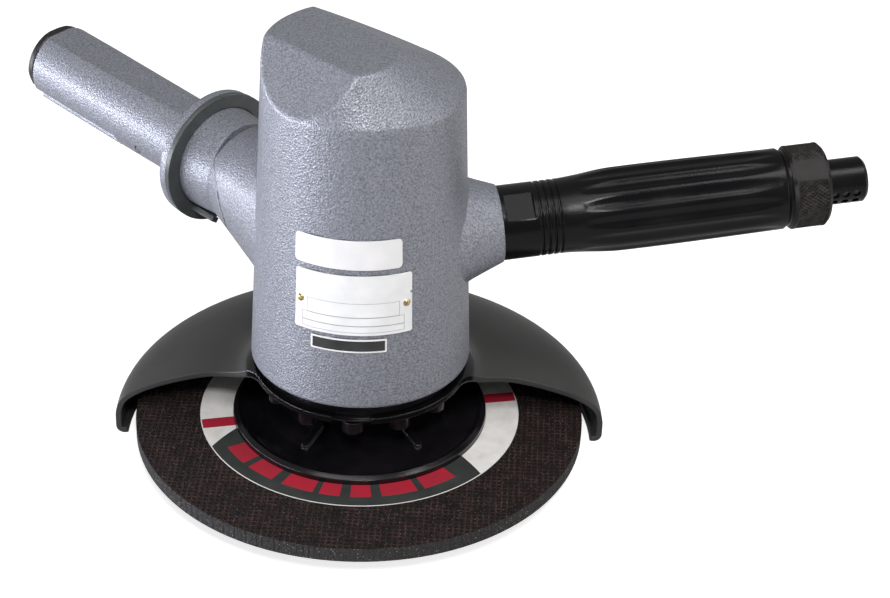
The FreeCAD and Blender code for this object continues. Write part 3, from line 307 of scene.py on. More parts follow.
# Hammer enamel: rounded cells whose middles are sunk, at a size that wanders a little.
hammer, given, gives = effect("hammer_enamel", {"Cell Size": enamel_cell},
                              {"Rim": "Float", "Tone": "Float", "Height": "Float"})
place = shader_node(hammer, "TexCoord").outputs["Object"]
density = texture_scale(hammer, given["Cell Size"])
wander = shader_node(hammer, "TexNoise", {"Vector": place, "Scale": density,
                                          "Detail": 1.0}).outputs["Color"]
drift = shader_node(hammer, "VectorMath", {0: wander, "Scale": enamel_wander},
                    operation="SCALE").outputs["Vector"]
moved = shader_node(hammer, "VectorMath", {0: place, 1: drift}, operation="ADD").outputs["Vector"]
cells = shader_node(hammer, "TexVoronoi", {"Vector": moved, "Scale": density, "Smoothness": 0.7},
                    feature="SMOOTH_F1").outputs["Distance"]
tones = noise(hammer, place, density, detail=3.0)
hammer.links.new(spread_out(hammer, cells, 0.0, 1.0, first=0.30, last=0.62), gives["Rim"])
hammer.links.new(spread_out(hammer, tones, 0.0, 1.0, first=0.36, last=0.64), gives["Tone"])
hammer.links.new(cells, gives["Height"])

enamel, tree, shader, at = finish("hammer_enamel")
paint = use(tree, hammer, Cell_Size=enamel_cell)
toned = ramp(tree, paint["Tone"], (0.0, enamel_deep), (0.45, enamel_mean), (1.0, enamel_pale))
rimmed = blended(tree, spread_out(tree, paint["Rim"], 0.0, 0.35), toned, enamel_pale)
# Edges are painted paler: part real wear, part painted highlight along the crown's edges.
worn = use(tree, worn_edges, Radius=0.0007, Amount=0.24, Patch_Size=0.005)["Mask"]
coat(tree, shader, Base_Color=blended(tree, worn, rimmed, enamel_wear_and_edge_highlight),
     Metallic=0.42, Roughness=spread_out(tree, paint["Rim"], 0.52, 0.40),
     Coat_Weight=0.15, Coat_Roughness=0.2,
     Normal=relief(tree, paint["Height"], enamel_relief, enamel_edge))
dress(enamel, "motor_housing", "throttle_handle", "throttle_lever")


# Rating plate and two stickers: a white enamelled aluminium plate, ruled with empty
# fields and held by two brass drive rivets, with a white sticker above it and a black
# one with a white border below. All are bare and follow the housing's tapered wall.
wall_bottom_radius = 0.0428
wall_bottom = 0.0358
wall_taper_share = 0.0432
front = math.radians(-90)
plate_white = (0.80, 0.80, 0.80, 1)
plate_dull = (0.71, 0.71, 0.71, 1)
plate_rule = (0.28, 0.28, 0.28, 1)
rule_faded = (0.36, 0.36, 0.36, 1)
sticker_white = (0.78, 0.76, 0.76, 1)
sticker_black = (0.012, 0.012, 0.012, 1)
sticker_faded = (0.03, 0.03, 0.03, 1)
rule_width = 0.00016
print_lift = 0.00003
plate_sheet = 0.0005
sticker_sheet = 0.0002
wall_sheets = {
    # name: (low, high, turn in degrees, half angle in degrees, sheet, corner radius)
    "nameplate": (0.0676, 0.0925, 0.0, 31.3, plate_sheet, 0.0009),
    "upper_label": (0.0950, 0.1070, -3.3, 29.3, sticker_sheet, 0.0016),
    "lower_label": (0.0600, 0.0657, -2.1, 19.9, sticker_sheet, 0.0003),
}
notch_height = 0.0843
notch_depth = 0.0010
notch_half = 0.0008
plate_fields = [
    # (low, high, half angle in degrees) of each ruled field of the plate
    (0.0752, 0.0812, 24.4),
    (0.0716, 0.0752, 27.0),
    (0.0688, 0.0716, 27.0),
]
black_margin = 0.0007
wall_rows, wall_columns, corner_rows = 10, 48, 6
rivet_height = 0.080
rivet_angle = 28.3
rivet_head = 0.0015
rivet_dome = 0.0008
rivet_dimple = 0.00022
rivet_turns, dome_rows = 32, 5
sharp_angle = math.radians(21)


def piece(name, corners, faces, materials, body, stands_for=(), choice=None, smooth=True):
    """Makes a mesh that rides on a body; choice gives each face's material."""
    mesh = bpy.data.meshes.new(name)
    mesh.from_pydata(corners, [], faces)
    for material in materials:
        mesh.materials.append(material)
    for face in mesh.polygons:
        face.use_smooth = smooth
        if choice:
            face.material_index = choice[face.index]
    mesh.update()
    mesh.set_sharp_from_angle(angle=sharp_angle)
    made = bpy.data.objects.new(name, mesh)
    bpy.context.scene.collection.objects.link(made)
    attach(made, body)
    if stands_for:
        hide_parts(*stands_for)


def shell(outer, inner):
    """Faces and corners of a closed sheet, from an outer and an inner grid of like shape."""
    rows, columns = len(outer), len(outer[0])
    corners = [point for grid in (outer, inner) for row in grid for point in row]
    under = rows * columns

    def number(row, column):
        return row * columns + column

    faces = []
    for row in range(rows - 1):
        for column in range(columns - 1):
            face = (number(row, column), number(row, column + 1),
                    number(row + 1, column + 1), number(row + 1, column))
            faces.append(face)
            faces.append(tuple(under + corner for corner in reversed(face)))
    border = [(number(0, column + 1), number(0, column)) for column in range(columns - 1)]
    border += [(number(rows - 1, column), number(rows - 1, column + 1))
               for column in range(columns - 1)]
    border += [(number(row, 0), number(row + 1, 0)) for row in range(rows - 1)]
    border += [(number(row + 1, columns - 1), number(row, columns - 1))
               for row in range(rows - 1)]
    for first, second in border:
        faces.append((first, second, under + second, under + first))
    return corners, faces


def wall_radius(height):
    """The radius of the housing's tapered wall at a height."""
    return wall_bottom_radius - wall_taper_share * (height - wall_bottom)


def corner_pull(height, low, high, corner):
    """How far a rounded corner draws a sheet's side edge in at a height."""
    into = max(low + corner - height, height - high + corner, 0.0)
    return corner - math.sqrt(max(corner ** 2 - into ** 2, 0.0))


def wall_grid(low, high, turn, half, lift, corner, notch=False):
    """A grid of points over the wall, wide as an angle each way, with rounded corners."""
    bends = [corner * (1 - math.cos(math.pi * step / (2 * corner_rows)))
             for step in range(corner_rows + 1)]
    heights = {low + bend for bend in bends} | {high - bend for bend in bends}
    heights |= {low + (high - low) * step / wall_rows for step in range(wall_rows + 1)}
    if notch:
        heights |= {notch_height - notch_half, notch_height, notch_height + notch_half}
    grid = []
    for height in sorted(heights):
        radius = wall_radius(height) + lift
        reach = math.radians(half) * radius
        pull = corner_pull(height, low, high, corner)
        cut = 0.0
        if notch:
            cut = max(1 - abs(height - notch_height) / notch_half, 0.0) * notch_depth
        left, right = pull - reach, reach - max(pull, cut)
        row = []
        for step in range(wall_columns + 1):
            sideways = left + (right - left) * step / wall_columns
            angle = front + math.radians(turn) + sideways / radius
            row.append((radius * math.cos(angle), radius * math.sin(angle), height))
        grid.append(row)
    return grid


def clouded_finish(name, dark, light, bright, grains, wear, rough, depth, edge, mask="Speck", **values):
    """A material of two clouded tones with fine relief, rubbed to a third tone at its edges.

    grains is the size of its clouds and specks. wear is how near to an edge it is rubbed,
    how much, and in patches of what size. rough is its roughness from one end of the mask
    to the other, and values go straight on the shader."""
    material, tree, shader, at = finish(name)
    film = use(tree, grain, Cloud_Size=grains[0], Speck_Size=grains[1])
    worn = use(tree, worn_edges, Radius=wear[0], Amount=wear[1], Patch_Size=wear[2])["Mask"]
    toned = ramp(tree, film["Cloud"], (0.0, dark), (1.0, light))
    coat(tree, shader, Base_Color=blended(tree, worn, toned, bright),
         Roughness=spread_out(tree, film[mask], *rough),
         Normal=relief(tree, film["Height"], depth, edge), **values)
    return material


def printed_finish(name, plain, dull, roughness):
    """An enamelled, filmed or printed surface, rubbed dull along its edges."""
    return clouded_finish(name, dull, plain, dull, grains=(0.008, 0.0003), wear=(0.0003, 0.6, 0.003),
                          rough=(roughness, roughness + 0.12), depth=0.00003, edge=0.0002)


white_enamel = printed_finish("plate_white", plate_white, plate_dull, 0.30)
white_film = printed_finish("sticker_white", sticker_white, plate_dull, 0.42)
black_film = printed_finish("sticker_black", sticker_black, sticker_faded, 0.35)
rule_ink = printed_finish("plate_rule", plate_rule, rule_faded, 0.5)

sheet_finishes = {
    # name: (material, slot)
    "nameplate": (white_enamel, "plate_white"),
    "upper_label": (white_film, "label_white"),
    "lower_label": (white_film, "label_black"),
}
for name, (low, high, turn, half, sheet, corner) in wall_sheets.items():
    notched = name == "nameplate"
    corners, faces = shell(wall_grid(low, high, turn, half, sheet, corner, notched),
                           wall_grid(low, high, turn, half, 0.0, corner, notched))
    material, slot = sheet_finishes[name]
    piece(name + "_sheet", corners, faces, [material], "housing", [name])

low, high, turn, half, sheet, corner = wall_sheets["lower_label"]
margin_angle = math.degrees(black_margin / wall_radius(low))
black_size = (low + black_margin, high - black_margin, turn, half - margin_angle)
corners, faces = shell(wall_grid(*black_size, sheet + print_lift, corner),
                       wall_grid(*black_size, sheet / 2, corner))
piece("lower_label_print", corners, faces, [black_film], "housing")

# Each field has a rule below, one above and one at each side.
corners, faces = [], []
for low, high, half in plate_fields:
    rule_angle = math.degrees(rule_width / wall_radius(low))
    rules = [(low, low + rule_width, 0.0, half), (high - rule_width, high, 0.0, half)]
    rules += [(low, high, side * (half - rule_angle / 2), rule_angle / 2) for side in (-1, 1)]
    for bottom, top, turn, wide in rules:
        added, sides = shell(wall_grid(bottom, top, turn, wide, plate_sheet + print_lift, 0.0),
                             wall_grid(bottom, top, turn, wide, plate_sheet / 2, 0.0))
        faces += [tuple(len(corners) + corner for corner in side) for side in sides]
        corners += added
piece("nameplate_rules", corners, faces, [rule_ink], "housing")

brass = clouded_finish("rivet_brass", dark=(0.36, 0.26, 0.10, 1), light=(0.74, 0.60, 0.30, 1),
                       bright=(0.85, 0.74, 0.45, 1), grains=(0.001, 0.0002),
                       wear=(0.0003, 0.8, 0.001), rough=(0.22, 0.40), depth=0.00004, edge=0.0002,
                       Metallic=1.0)


def lathe(outline, turns):
    """Corners and faces of a closed turned ring, from (radius, along) points in a loop."""
    corners = []
    for step in range(turns):
        angle = 2 * math.pi * step / turns
        corners += [(radius * math.cos(angle), radius * math.sin(angle), along)
                    for radius, along in outline]
    count = len(outline)
    faces = []
    for step in range(turns):
        first, second = step * count, (step + 1) % turns * count
        for place in range(count):
            after = (place + 1) % count
            faces.append((first + place, second + place, second + after, first + after))
    return corners, faces


rivet_corners, rivet_faces = [], []
for side in (-1, 1):
    angle = front + math.radians(side * rivet_angle)
    seat = wall_radius(rivet_height) + plate_sheet
    facing = Vector((math.cos(angle), math.sin(angle), wall_taper_share)).normalized()
    turn = facing.to_track_quat("Z", "Y").to_matrix()
    middle = Vector((seat * math.cos(angle), seat * math.sin(angle), rivet_height))
    dome = [(rivet_dimple * (dome_rows - step) / dome_rows + rivet_head * step / dome_rows,
             rivet_dome * (1 - (step / dome_rows) ** 2)) for step in range(dome_rows + 1)]
    dome += [(rivet_head, -plate_sheet / 2), (rivet_dimple, -plate_sheet / 2),
             (rivet_dimple, rivet_dome / 2)]
    corners, faces = lathe(dome, rivet_turns)
    rivet_faces += [tuple(len(rivet_corners) + corner for corner in face) for face in faces]
    rivet_corners += [tuple(middle + turn @ Vector(corner)) for corner in corners]
piece("rivet_heads", rivet_corners, rivet_faces, [brass], "housing", ["nameplate_rivets"])


# Bearing cap, its screws, wheel flange and flange nut: turned steel under a black gloss
# lacquer. Faint turning marks show through it, and its edges are rubbed to a dull grey.
lacquer_black = (0.0022, 0.0020, 0.0026, 1)
lacquer_scuff = (0.006, 0.0052, 0.0064, 1)
lacquer_rubbed = (0.06, 0.052, 0.055, 1)


def off_axis(tree, at):
    """How far each point lies from the spindle's axis."""
    apart = shader_node(tree, "SeparateXYZ", {"Vector": at}).outputs
    around = shader_node(tree, "CombineXYZ", {"X": apart["X"], "Y": apart["Y"]}).outputs["Vector"]
    return shader_node(tree, "VectorMath", {0: around}, operation="LENGTH").outputs["Value"]


# Turning marks: fine rings round the spindle's axis, on flat and upright faces alike.
turning_marks, given, gives = effect("turning_marks", {"Pitch": 0.0004},
                                     {"Mask": "Float", "Height": "Float"})
place = shader_node(turning_marks, "TexCoord").outputs["Object"]
rise = shader_node(turning_marks, "SeparateXYZ", {"Vector": place}).outputs["Z"]
across = shader_node(turning_marks, "CombineXYZ", {"X": off_axis(turning_marks, place), "Y": rise})
rate = texture_scale(turning_marks, given["Pitch"])
marks = noise(turning_marks, across.outputs["Vector"], rate, detail=2.0, noise_dimensions="2D")
turning_marks.links.new(spread_out(turning_marks, marks, 0.0, 1.0, first=0.35, last=0.65),
                        gives["Mask"])
turning_marks.links.new(marks, gives["Height"])

lacquer, tree, shader, at = finish("gloss_lacquer")
film = use(tree, grain, Cloud_Size=0.015, Speck_Size=0.0005)
marks = use(tree, turning_marks, Pitch=0.0006)
worn = use(tree, worn_edges, Radius=0.0006, Amount=0.25, Patch_Size=0.004)["Mask"]
toned = ramp(tree, film["Cloud"], (0.0, lacquer_black), (1.0, lacquer_scuff))
height = sums(tree, "ADD", film["Height"], marks["Height"])
coat(tree, shader, Base_Color=blended(tree, worn, toned, lacquer_rubbed),
     Roughness=spread_out(tree, film["Cloud"], 0.09, 0.18), Specular_IOR_Level=0.42,
     Normal=relief(tree, height, 0.00003, 0.0006))
dress(lacquer, "bearing_cap", "cap_screws", "wheel_flange", "wheel_nut")


# Lever pin: turned from alloy steel, with a brown-black oxide. It is pressed through the
# left handle under its grip, the lever turns on it, and its ends' edges are worn.
oxide_dark = (0.0030, 0.0026, 0.0028, 1)
oxide_brown = (0.0085, 0.0072, 0.0068, 1)
oxide_worn = (0.085, 0.078, 0.074, 1)


def metal_finish(name, dark, light, bright, metallic, roughness, pitch=0.0003, worn_share=0.6):
    """A machined metal: clouds of two tones, turning marks and brighter worn edges."""
    material, tree, shader, at = finish(name)
    metal = use(tree, grain, Cloud_Size=0.004, Speck_Size=0.0003)
    marks = use(tree, turning_marks, Pitch=pitch)
    worn = use(tree, worn_edges, Radius=0.0004, Amount=worn_share, Patch_Size=0.002)["Mask"]
    toned = ramp(tree, metal["Cloud"], (0.0, dark), (1.0, light))
    height = sums(tree, "ADD", marks["Height"], metal["Height"])
    coat(tree, shader, Base_Color=blended(tree, worn, toned, bright), Metallic=metallic,
         Roughness=spread_out(tree, marks["Mask"], roughness, roughness + 0.16),
         Normal=relief(tree, height, depth=0.00003, edge=0.0004))
    return material


oxide = metal_finish("dark_oxide", oxide_dark, oxide_brown, oxide_worn, metallic=0.0,
                     roughness=0.30, worn_share=0.3)
dress(oxide, "lever_pin")


# Spindle, key, governor pins and valve stem: ground alloy steel. The rotor is turned from
# the same steel, left a little duller, and the governor's parts are hardened and blued.
ground_steel = metal_finish("ground_steel", dark=(0.40, 0.40, 0.41, 1), light=(0.58, 0.58, 0.59, 1),
                            bright=(0.75, 0.75, 0.75, 1), metallic=1.0, roughness=0.16)
rotor_steel = metal_finish("rotor_steel", dark=(0.26, 0.26, 0.27, 1), light=(0.40, 0.40, 0.41, 1),
                           bright=(0.60, 0.60, 0.60, 1), metallic=1.0, roughness=0.28, pitch=0.0005)
blued_steel = metal_finish("blued_steel", dark=(0.055, 0.060, 0.075, 1), light=(0.13, 0.12, 0.11, 1),
                           bright=(0.42, 0.40, 0.36, 1), metallic=0.9, roughness=0.26)
dress(ground_steel, "spindle", "rotor_key", "governor_pins", "valve_stem")
dress(rotor_steel, "rotor")
dress(blued_steel, "governor_cage", "governor_weight_right", "governor_weight_left", "governor_valve")


# Ball bearings: polished chrome steel races and balls, with turned bronze cages. The
# governor's bush and the valve's guide are turned from the same bronze and pressed in.
race_steel = metal_finish("race_steel", dark=(0.52, 0.52, 0.53, 1), light=(0.66, 0.66, 0.67, 1),
                          bright=(0.85, 0.85, 0.85, 1), metallic=1.0, roughness=0.08, pitch=0.0002)
cage_bronze = metal_finish("cage_bronze", dark=(0.32, 0.19, 0.075, 1), light=(0.50, 0.33, 0.14, 1),
                           bright=(0.72, 0.54, 0.28, 1), metallic=1.0, roughness=0.24)
for row in ("lower", "upper"):
    dress(race_steel, row + "_bearing_outer_race", row + "_bearing_inner_race", row + "_bearing_balls")
    dress(cage_bronze, row + "_bearing_cage")
dress(cage_bronze, "governor_bush", "valve_guide")


# Cylinder liner and end plates: grey cast iron, honed inside and machined on the ends,
# with the open grain of the casting.
honed_iron = metal_finish("honed_iron", dark=(0.11, 0.108, 0.105, 1), light=(0.20, 0.195, 0.19, 1),
                          bright=(0.40, 0.39, 0.38, 1), metallic=0.85, roughness=0.36, pitch=0.0007)
dress(honed_iron, "cylinder_liner", "lower_end_plate", "upper_end_plate")


# Rotor vanes: plates sawn from laminate, which is cotton cloth in brown resin, so their
# edges show its layers. They stand in the rotor's slots.
laminate_dark = (0.12, 0.055, 0.022, 1)
laminate_pale = (0.26, 0.145, 0.065, 1)
laminate_worn = (0.34, 0.21, 0.11, 1)
laminate_layer = 0.0003
wave_period = math.pi / 10  # a wave texture's period at scale 1, in metres

laminate, tree, shader, at = finish("vane_laminate")
film = use(tree, grain, Cloud_Size=0.006, Speck_Size=0.0004)
layers = shader_node(tree, "TexWave", {"Vector": at, "Scale": wave_period / laminate_layer,
                                       "Distortion": 1.5, "Detail": 2.0},
                     bands_direction="Z").outputs["Fac"]
worn = use(tree, worn_edges, Radius=0.0003, Amount=0.6, Patch_Size=0.002)["Mask"]
streaks = sums(tree, "MULTIPLY", layers, film["Cloud"])
toned = ramp(tree, streaks, (0.0, laminate_dark), (0.8, laminate_pale))
height = sums(tree, "ADD", layers, film["Height"])
coat(tree, shader, Base_Color=blended(tree, worn, toned, laminate_worn),
     Roughness=spread_out(tree, film["Speck"], 0.45, 0.62),
     Normal=relief(tree, height, depth=0.00003, edge=0.0003))
dress(laminate, "rotor_vanes")


# Springs: drawn music wire, coiled cold and lightly oiled. Each one's upper end rests on a
# fixed seat and its lower end on the valve that it pushes down; each coil here is a still copy of the part.
wire = metal_finish("spring_wire", dark=(0.22, 0.22, 0.23, 1), light=(0.38, 0.38, 0.39, 1),
                    bright=(0.55, 0.55, 0.55, 1), metallic=1.0, roughness=0.22, pitch=0.0001,
                    worn_share=0.3)
spring_on = {"throttle_valve": "throttle_spring", "speed_valve": "governor_spring"}
for joint in frame["record"]["behaviour"]["joints"]:
    valve = joint["child"]
    if valve not in spring_on:
        continue
    name = spring_on[valve]
    coil = bpy.data.objects.new(name + "_coil", frame["nodes"][name].data.copy())
    bpy.context.scene.collection.objects.link(coil)
    coil.data.materials.clear()
    coil.data.materials.append(wire)
    low, high = (Vector(corner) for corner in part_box(name))
    middle, half = (low + high) / 2, (high.z - low.z) / 2
    along = Vector(joint["axis"]) * half
    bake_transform(coil)
    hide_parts(name)


# Shaft seal and valve seat: moulded nitrile rubber, black and a little dusty. The seal is
# pressed into the bearing cap, and the seat into the left handle.
rubber = clouded_finish("seal_rubber", dark=(0.008, 0.008, 0.008, 1), light=(0.020, 0.020, 0.019, 1),
                        bright=(0.045, 0.043, 0.040, 1), grains=(0.003, 0.0002),
                        wear=(0.0004, 0.7, 0.0015), rough=(0.55, 0.75), depth=0.00005, edge=0.0004,
                        Specular_IOR_Level=0.35)
dress(rubber, "shaft_seal", "valve_seat")


# Wheel guard: a hood pressed from steel sheet with a satin black stove enamel, rubbed
# thin along the rolled rim and edges. Its collar, in the bearing cap's groove, is painted
# down to the cap's gloss black and made glossier: the black is painted shade, for the shade under the
# housing.
guard_black = (0.026, 0.026, 0.025, 1)
guard_grey = (0.038, 0.038, 0.037, 1)
guard_rubbed = (0.16, 0.158, 0.155, 1)
collar_radius = 0.0445
collar_blend = 0.0012

satin, tree, shader, at = finish("satin_black")
film = use(tree, grain, Cloud_Size=0.03, Speck_Size=0.0007)
worn = use(tree, worn_edges, Radius=0.0006, Amount=0.15, Patch_Size=0.006)["Mask"]
toned = ramp(tree, film["Cloud"], (0.0, guard_black), (1.0, guard_grey))
# Collar mask: faces near the axis get the cap's black as painted shade, not a lacquer of their own.
collar_painted_shade = spread_out(tree, off_axis(tree, at), 1.0, 0.0, collar_radius, collar_radius + collar_blend)
rubbed = blended(tree, worn, toned, guard_rubbed)
gloss = sums(tree, "MULTIPLY", spread_out(tree, film["Cloud"], 0.36, 0.44),
             spread_out(tree, collar_painted_shade, 1.0, 0.4))
coat(tree, shader, Base_Color=blended(tree, collar_painted_shade, rubbed, lacquer_black), Roughness=gloss,
     Specular_IOR_Level=0.42, Normal=relief(tree, film["Height"], depth=0.00005, edge=0.0008))
dress(satin, "wheel_guard")


# Grinding wheel: resin-bonded grit pressed between layers of glass cloth. The weave
# shows on the faces as small squares, and the rim is bare grey grit with pale grains.
resin_black = (0.0075, 0.0045, 0.0042, 1)
resin_brown = (0.072, 0.037, 0.031, 1)
grit_grey = (0.044, 0.042, 0.042, 1)
grit_pale = (0.40, 0.37, 0.35, 1)
cloth_pitch = 0.0022
grit_size = 0.00065

cloth, given, gives = effect("glass_cloth", {"Pitch": cloth_pitch}, {"Thread": "Float", "Height": "Float"})
place = shader_node(cloth, "TexCoord").outputs["Object"]
rate = texture_scale(cloth, given["Pitch"], wave_period)
threads = []
for way in ("X", "Y"):
    waves = shader_node(cloth, "TexWave", {"Vector": place, "Scale": rate, "Distortion": 2.2,
                                           "Detail": 3.0, "Detail Scale": 4.0}, bands_direction=way)
    threads.append(waves.outputs["Fac"])
crossed = sums(cloth, "MAXIMUM", *threads)
cloth.links.new(spread_out(cloth, crossed, 0.0, 1.0, first=0.72, last=0.98), gives["Thread"])
cloth.links.new(crossed, gives["Height"])

abrasive, tree, shader, at = finish("bonded_grit")
weave = use(tree, cloth, Pitch=cloth_pitch)
grains = shader_node(tree, "TexVoronoi", {"Vector": at, "Scale": 1 / grit_size}).outputs
film = use(tree, grain, Cloud_Size=0.006, Speck_Size=0.0006)
facing = shader_node(tree, "SeparateXYZ", {"Vector": shader_node(tree, "NewGeometry").outputs["Normal"]})
upright = shader_node(tree, "Math", {0: facing.outputs["Z"]}, operation="ABSOLUTE").outputs[0]
rim = spread_out(tree, upright, 1.0, 0.0, first=0.2, last=0.7)
pick = shader_node(tree, "SeparateColor", {"Color": grains["Color"]}).outputs["Red"]
sparkle = sums(tree, "MULTIPLY", spread_out(tree, pick, 0.0, 1.0, first=0.86, last=0.95),
               spread_out(tree, grains["Distance"], 1.0, 0.0, first=0.15, last=0.40))
faced = blended(tree, sums(tree, "MULTIPLY", weave["Thread"], film["Cloud"]), resin_black, resin_brown)
bare = blended(tree, rim, faced, grit_grey)
toned = blended(tree, spread_out(tree, film["Speck"], 0.0, 0.5), bare, resin_black)
glint = sums(tree, "MULTIPLY", sparkle, spread_out(tree, rim, 0.45, 0.9))
height = sums(tree, "ADD", weave["Height"], grains["Distance"], film["Height"])
coat(tree, shader, Base_Color=blended(tree, glint, toned, grit_pale),
     Roughness=spread_out(tree, film["Speck"], 0.58, 0.80), Specular_IOR_Level=0.18,
     Normal=relief(tree, height, depth=0.0006, edge=0.0005))
dress(abrasive, "grinding_wheel")


# Wheel label: a printed paper ring, pressed on the wheel round the flange. Along the
# front runs a dark green-grey band with slanted ends and seven plain red blocks, and
# two red bars cross the white paper. It carries no lettering.
label_inner = 0.0505
label_outer = 0.0636
label_line = 0.0632
label_paper = 0.00010
label_ink = 0.00002
block_outer = 0.0580
band_start = (-159.5, -151.0)
band_end = (-33.8, -38.0)
red_blocks = {-142: 6.0, -127: 6.0, -110: 6.5, -97: 4.0, -85: 4.0, -70: 7.0, -53: 7.0}
red_bars = [-165.3, 13.0]
bar_half_width = 0.0030
paper_white = (0.74, 0.72, 0.70, 1)
paper_dusty = (0.58, 0.56, 0.53, 1)
band_green = (0.015, 0.019, 0.017, 1)
band_faded = (0.028, 0.032, 0.029, 1)
print_red = (0.36, 0.005, 0.022, 1)
red_faded = (0.28, 0.010, 0.024, 1)
label_rings = 8
full_ring = (-270, 90)
wheel_top = 0.0052
paper_top = wheel_top + label_paper
ink_top = paper_top + label_ink
block_top = ink_top + label_ink


def ring_grid(inner, outer, inner_span, outer_span, height, steps):
    """Points over part of a ring, whose ends can slant from one pair of angles to another."""
    grid = []
    for ring in range(label_rings + 1):
        share = ring / label_rings
        radius = inner + (outer - inner) * share
        first = inner_span[0] + (outer_span[0] - inner_span[0]) * share
        last = inner_span[1] + (outer_span[1] - inner_span[1]) * share
        row = []
        for step in range(steps + 1):
            angle = math.radians(first + (last - first) * step / steps)
            row.append((radius * math.cos(angle), radius * math.sin(angle), height))
        grid.append(row)
    return grid


# Each part of the ring: its ink, inner and outer radius, the angles that it spans at each,
# its underside and top, and its number of steps.
label_parts = [(0, label_inner, label_outer, full_ring, full_ring, wheel_top, paper_top, 240)]
inner_band, outer_band = (band_start[0], band_end[0]), (band_start[1], band_end[1])
label_parts.append((1, label_inner, label_line, inner_band, outer_band, wheel_top, ink_top, 160))
for middle, half in red_blocks.items():
    span = (middle - half, middle + half)
    label_parts.append((2, label_inner, block_outer, span, span, wheel_top, block_top, 16))
for middle in red_bars:
    inner_half = math.degrees(bar_half_width / label_inner)
    outer_half = math.degrees(bar_half_width / label_outer)
    label_parts.append((2, label_inner, label_line, (middle - inner_half, middle + inner_half),
                        (middle - outer_half, middle + outer_half), wheel_top, ink_top, 12))

label_finishes = [
    printed_finish("label_paper", paper_white, paper_dusty, 0.55),
    printed_finish("label_band", band_green, band_faded, 0.5),
    printed_finish("label_red", print_red, red_faded, 0.5),
]
corners, faces, choice = [], [], []
for ink, inner, outer, inner_span, outer_span, low, high, steps in label_parts:
    added, sides = shell(ring_grid(inner, outer, inner_span, outer_span, low, steps),
                         ring_grid(inner, outer, inner_span, outer_span, high, steps))
    faces += [tuple(len(corners) + corner for corner in side) for side in sides]
    choice += [ink] * len(sides)
    corners += added
piece("wheel_label", corners, faces, label_finishes, "spinning_shaft", choice=choice)


# Hand-guard ring and inlet bush: the ring is stamped from steel sheet, under a thin
# grey-green enamel, and the bush is turned from steel and blacked. Both are rubbed along
# their edges.
ring_enamel = clouded_finish("ring_enamel", dark=(0.056, 0.063, 0.062, 1), light=(0.084, 0.092, 0.091, 1),
                             bright=(0.26, 0.27, 0.27, 1), grains=(0.01, 0.0004),
                             wear=(0.0006, 0.5, 0.004), rough=(0.32, 0.44), depth=0.00004,
                             edge=0.0006, Metallic=0.2)
dress(ring_enamel, "hand_guard_ring")

bush_black = metal_finish("bush_black", dark=(0.006, 0.006, 0.006, 1), light=(0.014, 0.014, 0.014, 1),
                          bright=(0.09, 0.09, 0.09, 1), metallic=0.1, roughness=0.36)
dress(bush_black, "inlet_bush")


# Inlet strainer: a cup rolled from woven steel wire, so it shows as a fine net. It is
# pushed into the inlet bush and keeps dirt from the throttle valve.
mesh_pitch = 0.0009
mesh_shade = (0.10, 0.10, 0.10, 1)
mesh_wire = (0.50, 0.50, 0.50, 1)
mesh_worn = (0.65, 0.65, 0.65, 1)

strainer, tree, shader, at = finish("strainer_net")
net = use(tree, cloth, Pitch=mesh_pitch)
toned = ramp(tree, net["Thread"], (0.0, mesh_shade), (1.0, mesh_wire))
worn = use(tree, worn_edges, Radius=0.0004, Amount=0.5, Patch_Size=0.002)["Mask"]
coat(tree, shader, Base_Color=blended(tree, worn, toned, mesh_worn), Metallic=0.9,
     Roughness=spread_out(tree, net["Thread"], 0.5, 0.3),
     Normal=relief(tree, net["Height"], depth=0.0002, edge=0.0003))
dress(strainer, "inlet_strainer")


# Silencer: a sleeve of pressed wool felt, slid into the exhaust handle and tube, where it
# lies behind the tube's holes.
felt_dark = (0.16, 0.155, 0.15, 1)
felt_pale = (0.28, 0.27, 0.26, 1)
felt_fibre = (0.20, 0.19, 0.185, 1)

felt, tree, shader, at = finish("silencer_felt")
film = use(tree, grain, Cloud_Size=0.004, Speck_Size=0.0003)
toned = ramp(tree, film["Cloud"], (0.0, felt_dark), (1.0, felt_pale))
coat(tree, shader, Base_Color=blended(tree, film["Speck"], toned, felt_fibre),
     Roughness=spread_out(tree, film["Speck"], 0.85, 1.0), Sheen_Weight=0.3,
     Normal=relief(tree, film["Height"], depth=0.0003, edge=0.0004))
dress(felt, "silencer")


# Exhaust handle: a hollow aluminium grip, turned, fluted and anodised gloss black. Two
# wrench flats and four grooves are at its root, and fourteen shallow flutes with soft
# ends run along the barrel. The lock ring screws on the thread at its end.
handle_turn = math.radians(12.3)
handle_rise = math.radians(90 - 4.2)
handle_height = 0.0840
spigot_start, boss_end = 0.0409, 0.0529
spigot_radius, root_radius = 0.0100, 0.0145
flat_start, flat_end, flat_distance = 0.0546, 0.0654, 0.0133
flat_angle = math.radians(36)
groove_start, groove_pitch, groove_width, groove_depth = 0.0674, 0.0025, 0.0008, 0.0006
barrel_start, barrel_full, barrel_end = 0.0775, 0.1000, 0.1640
barrel_radius, neck_radius = 0.0159, 0.0150
ring_start, ring_end, ring_radius, ring_chamfer = 0.1664, 0.1814, 0.0164, 0.0013
ring_flat = 0.0153
thread_radius, thread_end, flange_end = 0.0125, 0.1740, 0.1770
bore_radius, muffler_radius, muffler_start = 0.0065, 0.0100, 0.1500
tube_radius = 0.0089
barrel_belly, belly_lean = 0.0005, 0.75
flute_count, flute_radius, flute_depth = 14, 0.0042, 0.0009
flute_start, flute_end, flute_taper, flute_softness = 0.0850, 0.1610, 0.0150, 0.00024
softened_reach = 8 * flute_softness
groove_count = 4
break_width = 0.0002
handle_steps, barrel_steps = 252, 90


def on_exhaust(point):
    """A point of the handle, drawn along Z with its X side up, in its place on the housing."""
    turn = Matrix.Rotation(handle_turn, 3, "Z") @ Matrix.Rotation(handle_rise, 3, "Y")
    placed = turn @ Matrix.Rotation(math.pi, 3, "Z") @ Vector(point)
    return tuple(placed + Vector((0, 0, handle_height)))


